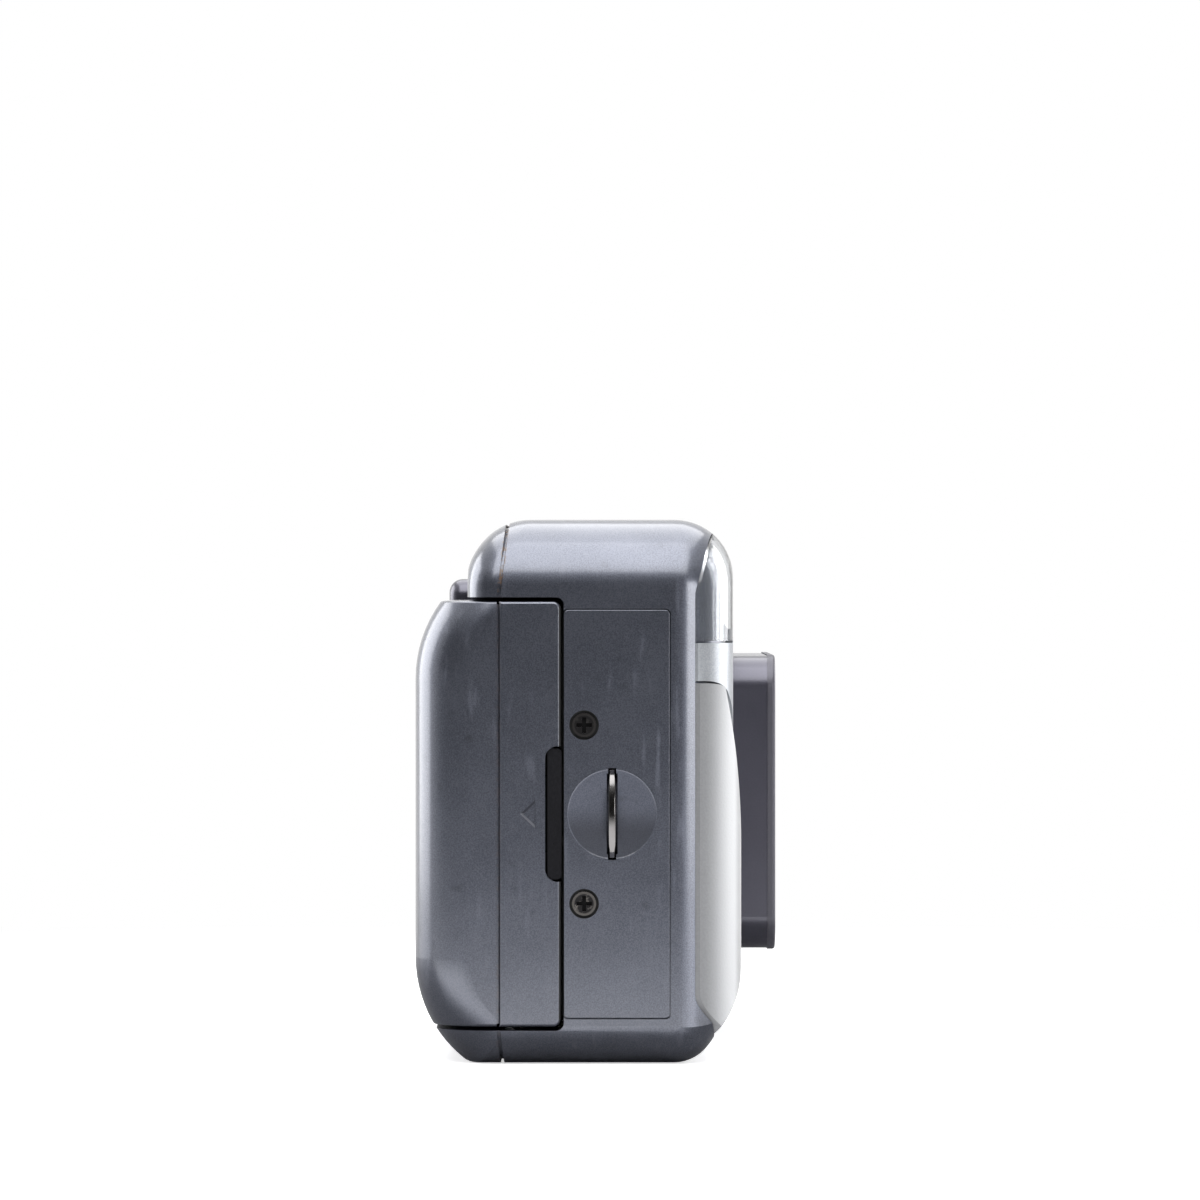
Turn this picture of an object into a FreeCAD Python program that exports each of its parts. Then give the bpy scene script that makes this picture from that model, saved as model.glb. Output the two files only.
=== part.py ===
import FreeCAD, Part
import math
import os

Vector = FreeCAD.Vector

# Compact film camera. Millimetres. X runs along the body, with the grip end at -X,
# the lens looks along -Y, and +Z is up. The origin is the mouth of the tripod bush in the base.

# Outer form
body_width = 125.0
half_width = body_width / 2
body_height = 70.0
front_reach = 17.6
front_bow = 0.9
top_cover_reach = 16.4
door_reach = 23.2
wall = 2.0
root = 0.2
top_corner = 9.0
front_roll = 7.5
rear_end_roll = 4.0
rear_top_roll = 8.0
door_end_roll = 7.0
base_end_roll = 5.0
base_round = 5.5
chin_radius = 19.6
chin_start = 14.0
chin_turn = math.radians(36.5)
door_round = 16.7
door_round_low = 13.5
door_round_high = body_height - 20.5
door_turn = math.radians(31.0)
hull_depth = 30.0
soft_edge = 0.4
front_cut = -10.0
top_cut = body_height - 10.0
shelf_thick = 1.2

# Parting seam, door and flange
seam_at = 12.4
seam_gap = 0.45
seam_rear = seam_at + seam_gap / 2
seam_lean_low = 0.5
seam_lean_high = 1.2
lip_depth = 0.5
lip_thick = 0.8
lip_gap = 0.05
seam_stop_half = 4.0
door_low = 4.9
door_high = body_height - 10.5
door_gap = 0.5
flange_front = 4.4
flange_gap = 0.4
flange_thick = 1.6
flange_corner = 1.0
flange_seam = 0.3
post_width = 7.0
hinge_knuckle = 1.6
hinge_pin_radius = 0.6
hinge_bore_gap = 0.05
hinge_knuckles = 5
hinge_line = 0.5
hinge_low = 14.5
hinge_groove = 2.4
hinge_lip = 0.5
knuckle_gap = 0.15
knuckle_end_gap = 0.1
hinge_arm = 2.2
hinge_arm_low = 0.6
hinge_arm_high = 0.9
hinge_wall = 1.8
post_wall = 2.5
post_inset = 1.0
hinge_high = 48.5
door_frame_thick = 1.5
door_frame_left = -half_width + 10.5
door_frame_inset = 5.0
door_frame_edge = 0.3
door_rib = 1.0
door_rib_inset = 7.0
door_post_radius = 1.6
door_post_rise = 12.0
door_post_left = 17.0
door_post_right = 14.0
plate_gap = 0.25
plate_thick = 1.0
plate_left = 21.0
plate_right = 18.0
plate_rise = 16.0
plate_corner = 2.0
post_gap = 0.5
spring_thick = 0.3
spring_length = 24.0
spring_width = 7.0
spring_gap = 0.65
spring_bend = 4.0
spring_flat = 0.6
spring_foot = 1.0
cartridge_spring_length = 18.0
cartridge_spring_width = 5.0
cartridge_spring_gap = 0.7
cartridge_spring_drop = 13.2
film_window_half = 3.5
film_window_low = 22.0
film_window_high = 42.0
film_window_corner = 1.5
film_window_gap = 0.05
thumb_grooves = 3
thumb_x = -half_width + 8.2
thumb_pitch = 1.9
thumb_half = 0.5
thumb_reach = 9.0
thumb_depth = 0.35
tongue_thick = 1.1
tongue_start = 10.2
tongue_end = 14.2
tongue_inset = 1.1

# Front panels
panel_thick = 1.0
panel_side_rim = 0.45
panel_top_rim = 1.8
panel_low = 3.0
panel_top_corner = 8.0
panel_low_corner = 6.0
panel_back = 11.6
panel_gap = 0.15
flash_low = body_height - 15.6
flash_right = -half_width + 29.0
flash_corner = 2.5
flash_gap = 0.3
flash_frame = 1.5
flash_frame_left = -half_width + 4.5
flash_frame_drop = 3.5
flash_frame_inset = 2.0
grip_bulge = 1.1
grip_bulge_radius = 100.0
grip_bulge_level = 28.0
grip_chin_radius = 11.7
grip_chin_level = 12.2
grip_right = -half_width + 28.5
grip_top = body_height - 20.9
grip_shoulder_x = -half_width + 15.5
grip_shoulder_z = 36.0
grip_sweep = 14.0
grip_shoulder_round = 12.0
grip_top_round = 5.0
grip_top_inset = 3.0
grip_proud = 0.2
grip_fall_turn = math.radians(12.0)

# Side panel, strap bar and latch on the grip end
side_front = -9.6
side_rear = 4.0
side_low = 6.0
side_high = body_height - 11.6
side_thick = 1.0
side_gap = 0.12
side_corner = 0.6
side_soft = 0.12
dish_floor = 1.8
boss_wall = 1.0
dish_y = -2.2
dish_radius = 5.75
dish_depth = 1.5
strap_bar_width = 1.0
strap_bar_thick = 0.9
strap_bar_soft = 0.25
strap_bar_bow = 1.3
strap_bar_sink = 0.05
strap_bar_inset = 0.1
strap_bar_gap = 0.03
strap_slot_gap = 0.2
strap_slot_reach = 0.15
strap_seat = 0.7
screw_y = 1.4
screw_low = 20.7
screw_high = 43.6
screw_recess_radius = 1.9
screw_head_radius = 1.55
screw_head_depth = 0.5
screw_shank_radius = 0.8
screw_shank_length = 2.4
screw_cross_reach = 1.0
screw_cross_half = 0.25
screw_cross_depth = 0.3
screw_sink = 0.2
screw_seat = 0.4
screw_fit = 0.1
side_boss_depth = 3.2
latch_notch_low = 23.5
latch_notch_high = 40.9
latch_notch_depth = 2.0
latch_notch_corner = 1.6
latch_pad_corner = 0.6
latch_pad_edge = 0.1
latch_clear = 0.3
latch_arm_x = -half_width + 2.4
latch_arm_thick = 1.0
latch_arm_half = 5.0
latch_nose_y = 8.4
latch_nose_width = 0.8
latch_ear_thick = 1.3
latch_rib_y = 7.2
latch_rib_width = 1.0
latch_pad_sink = 0.3
latch_rib_reach = 0.6
latch_catch_gap = 0.1
arrow_tip = 9.4
arrow_base = 7.6
arrow_height = 3.5
arrow_depth = 0.3

# Film path
film_level = 32.2
film_plane = 11.0
rail_height = 0.4
gate_width = 36.0
gate_height = 24.0
cartridge_x = -half_width + 17.9
cartridge_y = 3.0
cartridge_radius = 12.8
spool_x = half_width - 18.5
spool_y = 2.5
spool_chamber_radius = 11.5
spool_radius = 7.0
chamber_low = 7.0
chamber_high = body_height - 12.4
sprocket_x = 27.0
sprocket_radius = 4.5
sprocket_y = film_plane - sprocket_radius
sprocket_teeth = 6
sprocket_tooth = 0.9
chassis_left = -half_width + 4.5
chassis_right = half_width - 7.3
chassis_low = 6.0
chassis_high = body_height - 11.4
chassis_front = -9.5
chamber_wall = 0.7
shaft_gap = 0.06
end_gap = 0.3
gate_corner = 0.5
rail_inner = 12.4
rail_outer = 17.0
rail_width = 1.1
rail_run = 1.0
seal_left = -half_width + 8.5
seal_right = half_width - 10.5
spool_flange = 2.0
spool_flange_thick = 1.0
spool_slot_half = 0.6
spool_slot_depth = 3.0
spool_slot_reach = 15.0
spool_tooth = 0.9
spool_tooth_foot = 0.5
spool_tooth_half = 0.7
spool_tooth_level = 13.5
sprocket_gap = 0.35
sprocket_reach = 18.2
sprocket_waist = 1.5
sprocket_waist_reach = 11.0
sprocket_shaft = 1.2
sprocket_tooth_level = 14.2
sprocket_tooth_root = 0.6
sprocket_tooth_radius = 0.9
sprocket_tooth_tip = 0.4
fork_reach = 5.0
fork_shaft_foot = 4.0
fork_collar = 3.4
fork_collar_thick = 1.1
fork_blade_top = 1.0
fork_blade_width = 2.6
fork_blade_half = 0.5

# Lens
lens_x = 3.0
block_width = 41.0
block_height = 39.5
block_corner = 4.4
block_front = 23.2
block_foot = 3.0
block_seat = 17.52
bezel_thick = 1.05
bezel_lip = 0.15
barrel_radius = 16.2
barrel_wall = 1.3
barrel_gap = 0.08
barrel_front = 23.9
barrel_back = 0.5
inner_barrel_wall = 1.3
inner_barrel_front = 23.7
inner_barrel_back = -4.0
cradle_wall = 1.6
cradle_back = 5.0
cradle_flange = 19.2
cradle_front = -front_reach + panel_thick + 1.0
cradle_flange_thick = 1.5
cradle_floor = 1.0
cradle_lip = 2.5
cradle_fit = 0.1
block_foot_depth = 2.5
surround_fit = 0.1
surround_gap = 0.35
bezel_gap = 0.25
barrel_soft = 0.3
mouth_flare = 1.6
mouth_flare_depth = 0.6
barrier_at = 1.3
shutter_at = 10.4
blade_seat = 0.6
blade_plate = 0.7
blade_clear = 0.3
blade_pin_rise = 0.8
blade_arm = 1.2
front_lens_at = 3.2
front_lens_thick = 4.0
rear_lens_at = 12.4
rear_lens_thick = 3.0
lens_seat_at = 0.4
lens_seat_margin = 0.6
barrier_aperture = 5.6
barrier_blade_radius = 6.2
barrier_pivot = 9.6
shutter_aperture = 4.2
shutter_blade_radius = 4.8
shutter_pivot = 7.4
blade_thick = 0.4
blade_split = 0.06
blade_pin_radius = 0.45
blade_ear = 1.1
cap_thick = 0.9
front_lens_radius = 9.0
front_lens_bulge = 1.4
rear_lens_radius = 7.5
rear_lens_bulge = 1.2

# Viewfinder, display and windows
finder_width = 15.0
finder_low = body_height - 18.5
finder_high = body_height - 5.0
finder_window_height = 8.0
finder_window_level = body_height - 9.2
eyepiece_width = 18.0
eyepiece_low = body_height - 17.7
eyepiece_high = body_height - 7.7
eyepiece_reach = 19.9
eyepiece_round = 2.2
eyepiece_gap = 0.3
eyepiece_swing_gap = 0.9
eyepiece_lens_width = 10.0
eyepiece_lens_height = 6.0
eyepiece_lens_thick = 1.4
eyepiece_lens_sink = 1.2
eyepiece_rim = 1.8
eyepiece_fit = 0.05
eyepiece_notch_wall = 1.2
pane_corner = 1.2
window_corner = 1.2
finder_wall = 1.2
finder_front_gap = 0.5
finder_fit = 0.1
focus_x = 19.0
focus_pitch = 9.0
focus_radius = 2.6
lamp_x = -11.5
lamp_radius = 1.5
display_x = half_width - 35.5
display_y = -2.0
display_length = 20.0
display_width = 11.0
display_corner = 1.5
window_thick = 1.2
panel_shelf_thick = 1.4
panel_shelf_fit = 0.4
panel_shelf_drop = 0.2

# Controls
shutter_x = -half_width + 19.5
shutter_y = -6.0
shutter_button_radius = 5.6
shutter_dish = 0.5
power_x = -26.0
power_y = -6.0
power_radius = 3.0
mode_x = half_width - 19.0
mode_pitch = 8.0
mode_y = -2.0
mode_radius = 2.2
button_gap = 0.12
button_skirt = 0.6
button_height = 2.2
button_sink = 0.1
button_skirt_thick = 0.8
button_soft = 0.3
button_dish_share = 0.6
rocker_x = shutter_x
rocker_y = 5.4
rocker_length = 15.0
rocker_width = 5.0
rocker_soft = 0.4
rocker_dip_ball = 9.0
rocker_dip_depth = 0.35
rocker_dip_reach = 4.6
rewind_x = 20.0
rewind_y = -5.0
rewind_radius = 1.1
rewind_sink = 0.3
rewind_head_low = wall + 0.4
rewind_head_thick = 0.6
rewind_head = 0.5

# Base
battery_x = -23.6
battery_y = -3.5
battery_radius = 7.8
battery_low = 3.2
battery_length = 27.0
battery_cap_rise = 1.0
battery_cap_radius = 2.6
battery_edge = 0.5
battery_gap = 0.2
contact_rise = 3.5
contact_thick = 0.3
contact_long = 4.0
contact_broad = 3.0
contact_pin = 1.5
contact_gap = 0.1
battery_door_margin = 0.5
battery_door_thick = 1.5
battery_door_gap = 0.2
battery_door_corner = 1.5
battery_soft = 0.35
battery_hinge_inset = 0.4
battery_pin_radius = 0.35
battery_pin_reach = 1.0
bush_radius = 5.0
bush_fit = 0.05
bush_bore = 2.6
bush_height = 5.8
bush_thread_depth = 5.0
base_screw_x = half_width - 8.0
base_screw_y = 7.5
base_screw_pitch = 13.0
base_boss_radius = 2.2

# Gears and motor
gear_module = 0.6
spool_gear_teeth = 27
idler_teeth = 21
pinion_teeth = 10
gear_low = 3.0
gear_thick = 1.6
motor_x = spool_x - 16.7
motor_y = -5.5
motor_radius = 5.0
motor_length = 24.0
motor_shaft = 0.8
motor_fit = 0.05
shaft_radius = 2.0
idler_pin = 1.0
idler_pin_foot = 0.4
tooth_tip = 0.8
tooth_root = 1.1
tooth_shares = (0.3, 0.22, 0.1)

# Electrics
board_thick = 1.2
board_y = -13.0
board_left = 24.0
board_right = half_width - 5.5
board_low = 33.0
board_high = body_height - 14.0
board_inset = 3.5
board_post_radius = 1.5
capacitor_radius = 3.6
capacitor_length = 28.0
capacitor_x = half_width - 32.5
capacitor_y = -9.0
capacitor_gap = 0.05
reflector_depth = 5.0
reflector_wall = 0.5
reflector_gap = 0.7
reflector_left = -half_width + 6.5
reflector_right = flash_right - 2.6
reflector_low = flash_low + 2.2
reflector_high = body_height - 5.0
reflector_middle = (reflector_low + reflector_high) / 2
reflector_mouth = -front_reach + panel_thick + reflector_gap
reflector_floor = 2.5
reflector_bend = 1.5
reflector_end = 1.5
flash_tube_radius = 1.1
flash_tube_y = reflector_mouth + reflector_depth - 2.0
flash_tube_fit = 0.02
flash_tube_inset = 0.2

hinge_x = half_width - post_width
hinge_y = door_reach - hinge_knuckle
far = 100.0
touch = 0.01


def place(plane, u, v, w=0.0):
    if plane == "XY":
        return Vector(u, v, w)
    if plane == "XZ":
        return Vector(u, w, v)
    return Vector(w, u, v)


def outline(plane, corners, level):
    """Closed wire of straight sides. A corner (u, v, radius) is rounded, a corner (u, v) is sharp."""
    count = len(corners)
    stops = []
    for index, corner in enumerate(corners):
        here = Vector(corner[0], corner[1], 0)
        radius = corner[2] if len(corner) > 2 else 0.0
        before = Vector(corners[index - 1][0], corners[index - 1][1], 0) - here
        after = Vector(corners[(index + 1) % count][0], corners[(index + 1) % count][1], 0) - here
        before.normalize()
        after.normalize()
        half = before.getAngle(after) / 2
        if radius <= 0:
            stops.append((here, None, here))
            continue
        reach = radius / math.tan(half)
        middle = before + after
        middle.normalize()
        tip = here + middle * (radius / math.sin(half) - radius)
        stops.append((here + before * reach, tip, here + after * reach))
    edges = []
    for index, (start, tip, end) in enumerate(stops):
        if tip is not None:
            spots = [place(plane, p.x, p.y, level) for p in (start, tip, end)]
            edges.append(Part.Arc(*spots).toShape())
        nearest = stops[(index + 1) % count][0]
        if (nearest - end).Length > touch / far:
            line = Part.LineSegment(place(plane, end.x, end.y, level),
                                    place(plane, nearest.x, nearest.y, level))
            edges.append(line.toShape())
    return Part.Wire(edges)


def prism(plane, corners, start, end):
    """Solid between two levels across the plane of its outline."""
    face = Part.Face(outline(plane, corners, start))
    return face.extrude(place(plane, 0, 0, end - start))


def rectangle(u_low, u_high, v_low, v_high, radius=0.0):
    return [(u_low, v_low, radius), (u_high, v_low, radius),
            (u_high, v_high, radius), (u_low, v_high, radius)]


def block(x_low, x_high, y_low, y_high, z_low, z_high):
    return Part.makeBox(x_high - x_low, y_high - y_low, z_high - z_low, Vector(x_low, y_low, z_low))


def rod_x(y, z, radius, low, high):
    return Part.makeCylinder(radius, high - low, Vector(low, y, z), Vector(1, 0, 0))


def rod_y(x, z, radius, low, high):
    return Part.makeCylinder(radius, high - low, Vector(x, low, z), Vector(0, 1, 0))


def rod_z(x, y, radius, low, high):
    return Part.makeCylinder(radius, high - low, Vector(x, y, low), Vector(0, 0, 1))


def joined(first, *others):
    return first.fuse(list(others)).removeSplitter()


def without(first, *others):
    for other in others:
        first = first.cut(other)
    return first.removeSplitter()


def shared(first, *others):
    for other in others:
        first = first.common(other)
    return first.removeSplitter()


def save(name, shape):
    solids = shape.Solids
    body = solids[0] if len(solids) == 1 else Part.makeCompound(solids)
    body.exportStep("parts/" + name + ".step")


def foot(reach, start, radius, turn, base):
    """Corners of a profile that is upright above start and curls in by turn before it meets the base."""
    bend = start - radius * math.tan(turn / 2)
    return (reach, bend), (reach - (bend - base) * math.tan(turn), base)


def roll_ends(bar, roll):
    """Rounds the loops round both end faces of a bar along X, but not where the bar runs on out of reach."""
    loops = [edge for edge in bar.Edges if edge.BoundBox.XLength < touch and edge.BoundBox.ZMin < far - 1
             and edge.BoundBox.YMin < far - 1 and edge.BoundBox.YMax > 1 - far]
    return bar.makeFillet(roll, loops)


def roll_rear(hull, back, top, inset):
    """Rounds the rear of the upper body: tightly at the ends and wide along the top."""
    source = FreeCAD.ActiveDocument.addObject("Part::Feature", "hull")
    source.Shape = hull
    rounded = FreeCAD.ActiveDocument.addObject("Part::Fillet", "rear_roll")
    rounded.Base = source
    chosen = []
    for number, edge in enumerate(hull.Edges, 1):
        if edge.BoundBox.YMin < back - touch or edge.BoundBox.ZMax < 0:
            continue
        ends = [edge.valueAt(at).z for at in (edge.FirstParameter, edge.LastParameter)]
        radii = [(rear_top_roll if z > top - touch else rear_end_roll) - inset for z in ends]
        chosen.append((number, *radii))
    rounded.Edges = chosen
    FreeCAD.ActiveDocument.recompute()
    return rounded.Shape


def form(inset, rear, proud=0.0):
    """Outer form of the body drawn in by inset. rear is "top" for the stepped upper back or "door"."""
    side = half_width - inset
    top = body_height - inset
    face = front_reach - inset + proud
    belly = face + front_bow
    back = top_cover_reach - inset if rear == "top" else far
    corner = top_corner - inset
    hull = prism("XZ", [(-side, -hull_depth), (side, -hull_depth), (side, top, corner), (-side, top, corner)],
                 -far, back)
    bow = (side ** 2 + front_bow ** 2) / (2 * front_bow)
    hull = shared(hull, rod_z(0, bow - belly, bow, -far, far))
    lead = [edge for edge in hull.Edges if edge.BoundBox.YMax < touch - face and edge.BoundBox.ZMax > 0]
    hull = hull.makeFillet(front_roll - inset + proud, lead)
    base = base_round - inset
    chin = [(-y, z) for y, z in foot(belly, chin_start, chin_radius - inset, chin_turn, inset)]
    profile = [(-belly, far), (*chin[0], chin_radius - inset), (*chin[1], base)]
    if rear == "top":
        hull = roll_rear(hull, back, top, inset)
        profile += [(far, inset), (far, far)]
    else:
        reach = door_reach - inset
        radius = door_round - inset
        heel = foot(reach, door_round_low, radius, door_turn, inset)
        profile += [(*heel[1], base), (*heel[0], radius), (reach, far)]
        tail = prism("YZ", [(-far, door_round_low - radius), (reach, door_round_low - radius, radius),
                            (reach, door_round_high + radius, radius), (-far, door_round_high + radius)],
                     -side, side)
        hull = shared(hull, roll_ends(tail, door_end_roll - inset))
    return shared(hull, roll_ends(prism("YZ", profile, -side, side), base_end_roll - inset))


def softened(solid, radius, chosen):
    return solid.makeFillet(radius, [edge for edge in solid.Edges if chosen(edge)])


def seam_line(offset):
    """The parting seam from the base to the top, which leans forward above and below the door."""
    return [(seam_at - seam_lean_low + offset, 0.0), (seam_at + offset, door_low - door_gap),
            (seam_at + offset, door_high + door_gap), (seam_at - seam_lean_high + offset, body_height)]


def before_seam():
    return prism("YZ", [(-far, 0.0), *seam_line(-seam_gap / 2), (-far, body_height)], -far, far)


def behind_seam():
    return prism("YZ", [(far, body_height), *reversed(seam_line(seam_gap / 2)), (far, 0.0)], -far, far)


def seam_lip(rear, low, high, depth=lip_depth):
    """Lip of the rear cover that closes the seam depth below its mouth."""
    ring = without(form(depth, rear), form(lip_depth + lip_thick, rear))
    gap = [*seam_line(lip_gap - seam_gap / 2), *reversed(seam_line(seam_gap / 2 + root))]
    return shared(ring, prism("YZ", gap, -far, far), block(-far, far, -far, far, low, high))


def outer_halves():
    """Forms shared by the covers: outside and inside, with the top cover's back and with the door's."""
    return form(0, "top"), form(wall, "top"), form(0, "door"), form(wall, "door")


def panel_zone(grow=0.0):
    side = half_width - panel_side_rim + grow
    low = panel_low - grow
    high = body_height - panel_top_rim + grow
    return prism("XZ", [(-side, low, panel_low_corner), (side, low, panel_low_corner),
                        (side, high, panel_top_corner), (-side, high, panel_top_corner)], -far, -panel_back)


def grip_outline(shrink=0.0):
    right = grip_right - shrink
    return [(-far, -far), (right, -far), (right, grip_bulge_level, grip_sweep),
            (grip_shoulder_x, grip_shoulder_z - shrink, grip_shoulder_round),
            (-half_width + grip_top_inset, grip_top - shrink, grip_top_round), (-far, grip_top - shrink)]


def flash_outline(shrink=0.0):
    right = flash_right - shrink
    low = flash_low + shrink
    return [(-far, low), (right, low, flash_corner), (right, far), (-far, far)]


def lens_block(grow, start, end):
    half = block_width / 2 + grow
    rise = block_height / 2 + grow
    return prism("XZ", rectangle(lens_x - half, lens_x + half, film_level - rise, film_level + rise,
                                 block_corner + grow), start, end)


def finder_block(grow, start, end):
    half = finder_width / 2 + grow
    rise = finder_window_height / 2 + grow
    return prism("XZ", rectangle(lens_x - half, lens_x + half, finder_window_level - rise,
                                 finder_window_level + rise, window_corner), start, end)


def eyepiece_block(grow, start, end):
    half = eyepiece_width / 2 + grow
    return prism("XZ", rectangle(lens_x - half, lens_x + half, eyepiece_low - grow, eyepiece_high + grow,
                                 eyepiece_round + grow), start, end)


def display_block(grow, start, end):
    long = display_length / 2 + grow
    broad = display_width / 2 + grow
    return prism("XY", rectangle(display_x - long, display_x + long, display_y - broad, display_y + broad,
                                 display_corner + grow), start, end)


def rocker_block(grow, start, end):
    long = rocker_length / 2 + grow
    broad = rocker_width / 2 + grow
    return prism("XY", rectangle(rocker_x - long, rocker_x + long, rocker_y - broad, rocker_y + broad,
                                 broad - touch), start, end)


def battery_door_block(shrink, start, end):
    reach = battery_radius + battery_door_margin - shrink
    hinge_side = battery_y + reach
    return prism("XY", rectangle(battery_x - reach, battery_x + reach, battery_y - reach, hinge_side,
                                 battery_door_corner), start, end)


def mode_places():
    return [(mode_x, mode_y - mode_pitch / 2), (mode_x, mode_y + mode_pitch / 2)]


def focus_places():
    return [focus_x, focus_x + focus_pitch]


def base_screw_places():
    return [(side * base_screw_x, base_screw_y - depth)
            for side in (-1, 1) for depth in (0, base_screw_pitch)]


def side_screw_places():
    return [(screw_y, screw_low), (screw_y, screw_high)]


def side_outline(grow):
    return rectangle(side_front - grow, side_rear + grow, side_low - grow, side_high + grow, side_corner)


def dish_bowl():
    ball = (dish_radius ** 2 + dish_depth ** 2) / (2 * dish_depth)
    return Part.makeSphere(ball, Vector(-half_width - ball + dish_depth, dish_y, film_level))


def front_cover(top_outer, top_inner):
    shell = shared(without(top_outer, top_inner), before_seam())
    recess = without(panel_zone(), form(panel_thick, "top"))
    shell = without(shell, recess)
    boss_start = -half_width + wall - root
    bosses = [rod_x(dish_y, film_level, dish_radius - root, boss_start,
                    -half_width + dish_depth + dish_floor)]
    bosses += [rod_x(y, z, screw_shank_radius + boss_wall, boss_start, -half_width + side_boss_depth)
               for y, z in side_screw_places()]
    shell = joined(shell, *bosses)
    side = prism("YZ", side_outline(side_gap), -far, -half_width + side_thick)
    gap_front = flange_front - flange_gap
    gap_low = door_low - door_gap
    gap_high = door_high + door_gap
    flange = prism("YZ", [(gap_front, gap_low, flange_corner), (far, gap_low), (far, gap_high),
                          (gap_front, gap_high, flange_corner)], -far, -half_width + wall + root)
    cuts = [side, flange, dish_bowl(), strap_slot(), lens_block(-block_foot / 2, -far, front_cut)]
    cuts.append(finder_block(panel_gap, -far, front_cut))
    flash = rectangle(flash_frame_left, flash_right - flash_frame_inset, flash_low + flash_frame,
                      body_height - flash_frame_drop, flash_frame)
    cuts.append(prism("XZ", flash, -far, front_cut))
    cuts += [rod_y(x, finder_window_level, focus_radius + panel_gap, -far, front_cut) for x in focus_places()]
    cuts.append(rod_y(lamp_x, finder_window_level, lamp_radius + panel_gap, -far, front_cut))
    cuts.append(rod_z(shutter_x, shutter_y, shutter_button_radius + button_gap, top_cut, far))
    cuts.append(rod_z(power_x, power_y, power_radius + button_gap, top_cut, far))
    cuts += [rod_z(x, y, mode_radius + button_gap, top_cut, far) for x, y in mode_places()]
    cuts += [rocker_block(button_gap, top_cut, far), display_block(button_gap, top_cut, far)]
    cuts.append(battery_door_block(0, -far, battery_low))
    pin_y, pin_z = battery_hinge()
    pin_reach = battery_radius + battery_door_margin + battery_pin_reach + shaft_gap
    cuts.append(rod_x(pin_y, pin_z, battery_pin_radius + shaft_gap, battery_x - pin_reach,
                      battery_x + pin_reach))
    cuts.append(rod_z(0, 0, bush_radius + bush_fit, -far, bush_height))
    cuts.append(rod_z(rewind_x, rewind_y, rewind_radius + button_gap, -far, bush_height))
    cuts += [rod_z(x, y, screw_shank_radius + screw_fit, -far, bush_height) for x, y in base_screw_places()]
    cuts += [rod_z(x, y, screw_recess_radius, -far, screw_head_depth + screw_seat)
             for x, y in base_screw_places()]
    cuts += [rod_x(y, z, screw_shank_radius, -far, -half_width + side_boss_depth + root)
             for y, z in side_screw_places()]
    return without(shell, *cuts)


def hinge_spans():
    length = (hinge_high - hinge_low) / hinge_knuckles
    return [(hinge_low + index * length, hinge_low + (index + 1) * length) for index in range(hinge_knuckles)]


def rear_cover(top_outer, top_inner, door_outer, door_inner):
    behind = behind_seam()
    gap_low = door_low - door_gap
    gap_high = door_high + door_gap
    top = shared(without(top_outer, top_inner), behind, block(-far, far, -far, far, gap_high, far))
    shelf = shared(top_outer, behind, block(-far, far, -far, far, gap_high, gap_high + shelf_thick))
    low = shared(without(door_outer, door_inner), behind, block(-far, far, -far, far, -far, gap_low))
    floor = shared(door_outer, behind, block(-far, far, -far, far, gap_low - shelf_thick, gap_low))
    post_zone = block(hinge_x + hinge_line / 2, far, seam_rear, far, gap_low, gap_high)
    hollow = shared(door_inner, block(hinge_x + post_wall, far, -far, far, door_low + post_inset,
                                      door_high - post_inset))
    post = without(shared(door_outer, post_zone), hollow)
    groove = block(-far, hinge_x + hinge_groove, hinge_y - hinge_lip, far, gap_low, gap_high)
    post = without(post, groove, rod_z(hinge_x, hinge_y, hinge_knuckle + knuckle_gap, hinge_low, hinge_high))
    lips = [seam_lip("top", gap_high, far), seam_lip("door", -far, gap_low)]
    stop = block(-seam_stop_half, seam_stop_half, -far, far, -far, far)
    lips += [shared(lip, stop) for lip in (seam_lip("top", gap_high, far, lip_gap),
                                           seam_lip("door", -far, gap_low, lip_gap))]
    cover = joined(top, shelf, low, floor, post, *lips)
    for index, (start, end) in enumerate(hinge_spans()):
        if index % 2 == 0:
            continue
        start, end = start + knuckle_end_gap, end - knuckle_end_gap
        knuckle = rod_z(hinge_x, hinge_y, hinge_knuckle, start, end)
        arm = block(hinge_x, hinge_x + hinge_groove, hinge_y - hinge_knuckle, hinge_y - hinge_lip, start, end)
        cover = joined(cover, knuckle, arm)
    return without(cover, rod_z(hinge_x, hinge_y, hinge_pin_radius + hinge_bore_gap, hinge_low, hinge_high),
                   eyepiece_block(eyepiece_fit, 0, far))


def hinge_pin():
    return rod_z(hinge_x, hinge_y, hinge_pin_radius, hinge_low + knuckle_end_gap,
                 hinge_high - knuckle_end_gap)


def door_rim(edge):
    """True for the outer edges of the door along its top, its bottom and the seam on the grip end."""
    box = edge.BoundBox
    level = box.ZLength < touch and (abs(box.ZMax - door_high) < touch or abs(box.ZMin - door_low) < touch)
    outside = box.YMax > seam_rear + touch and box.XMin < hinge_x - hinge_wall
    return level and outside


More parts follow.
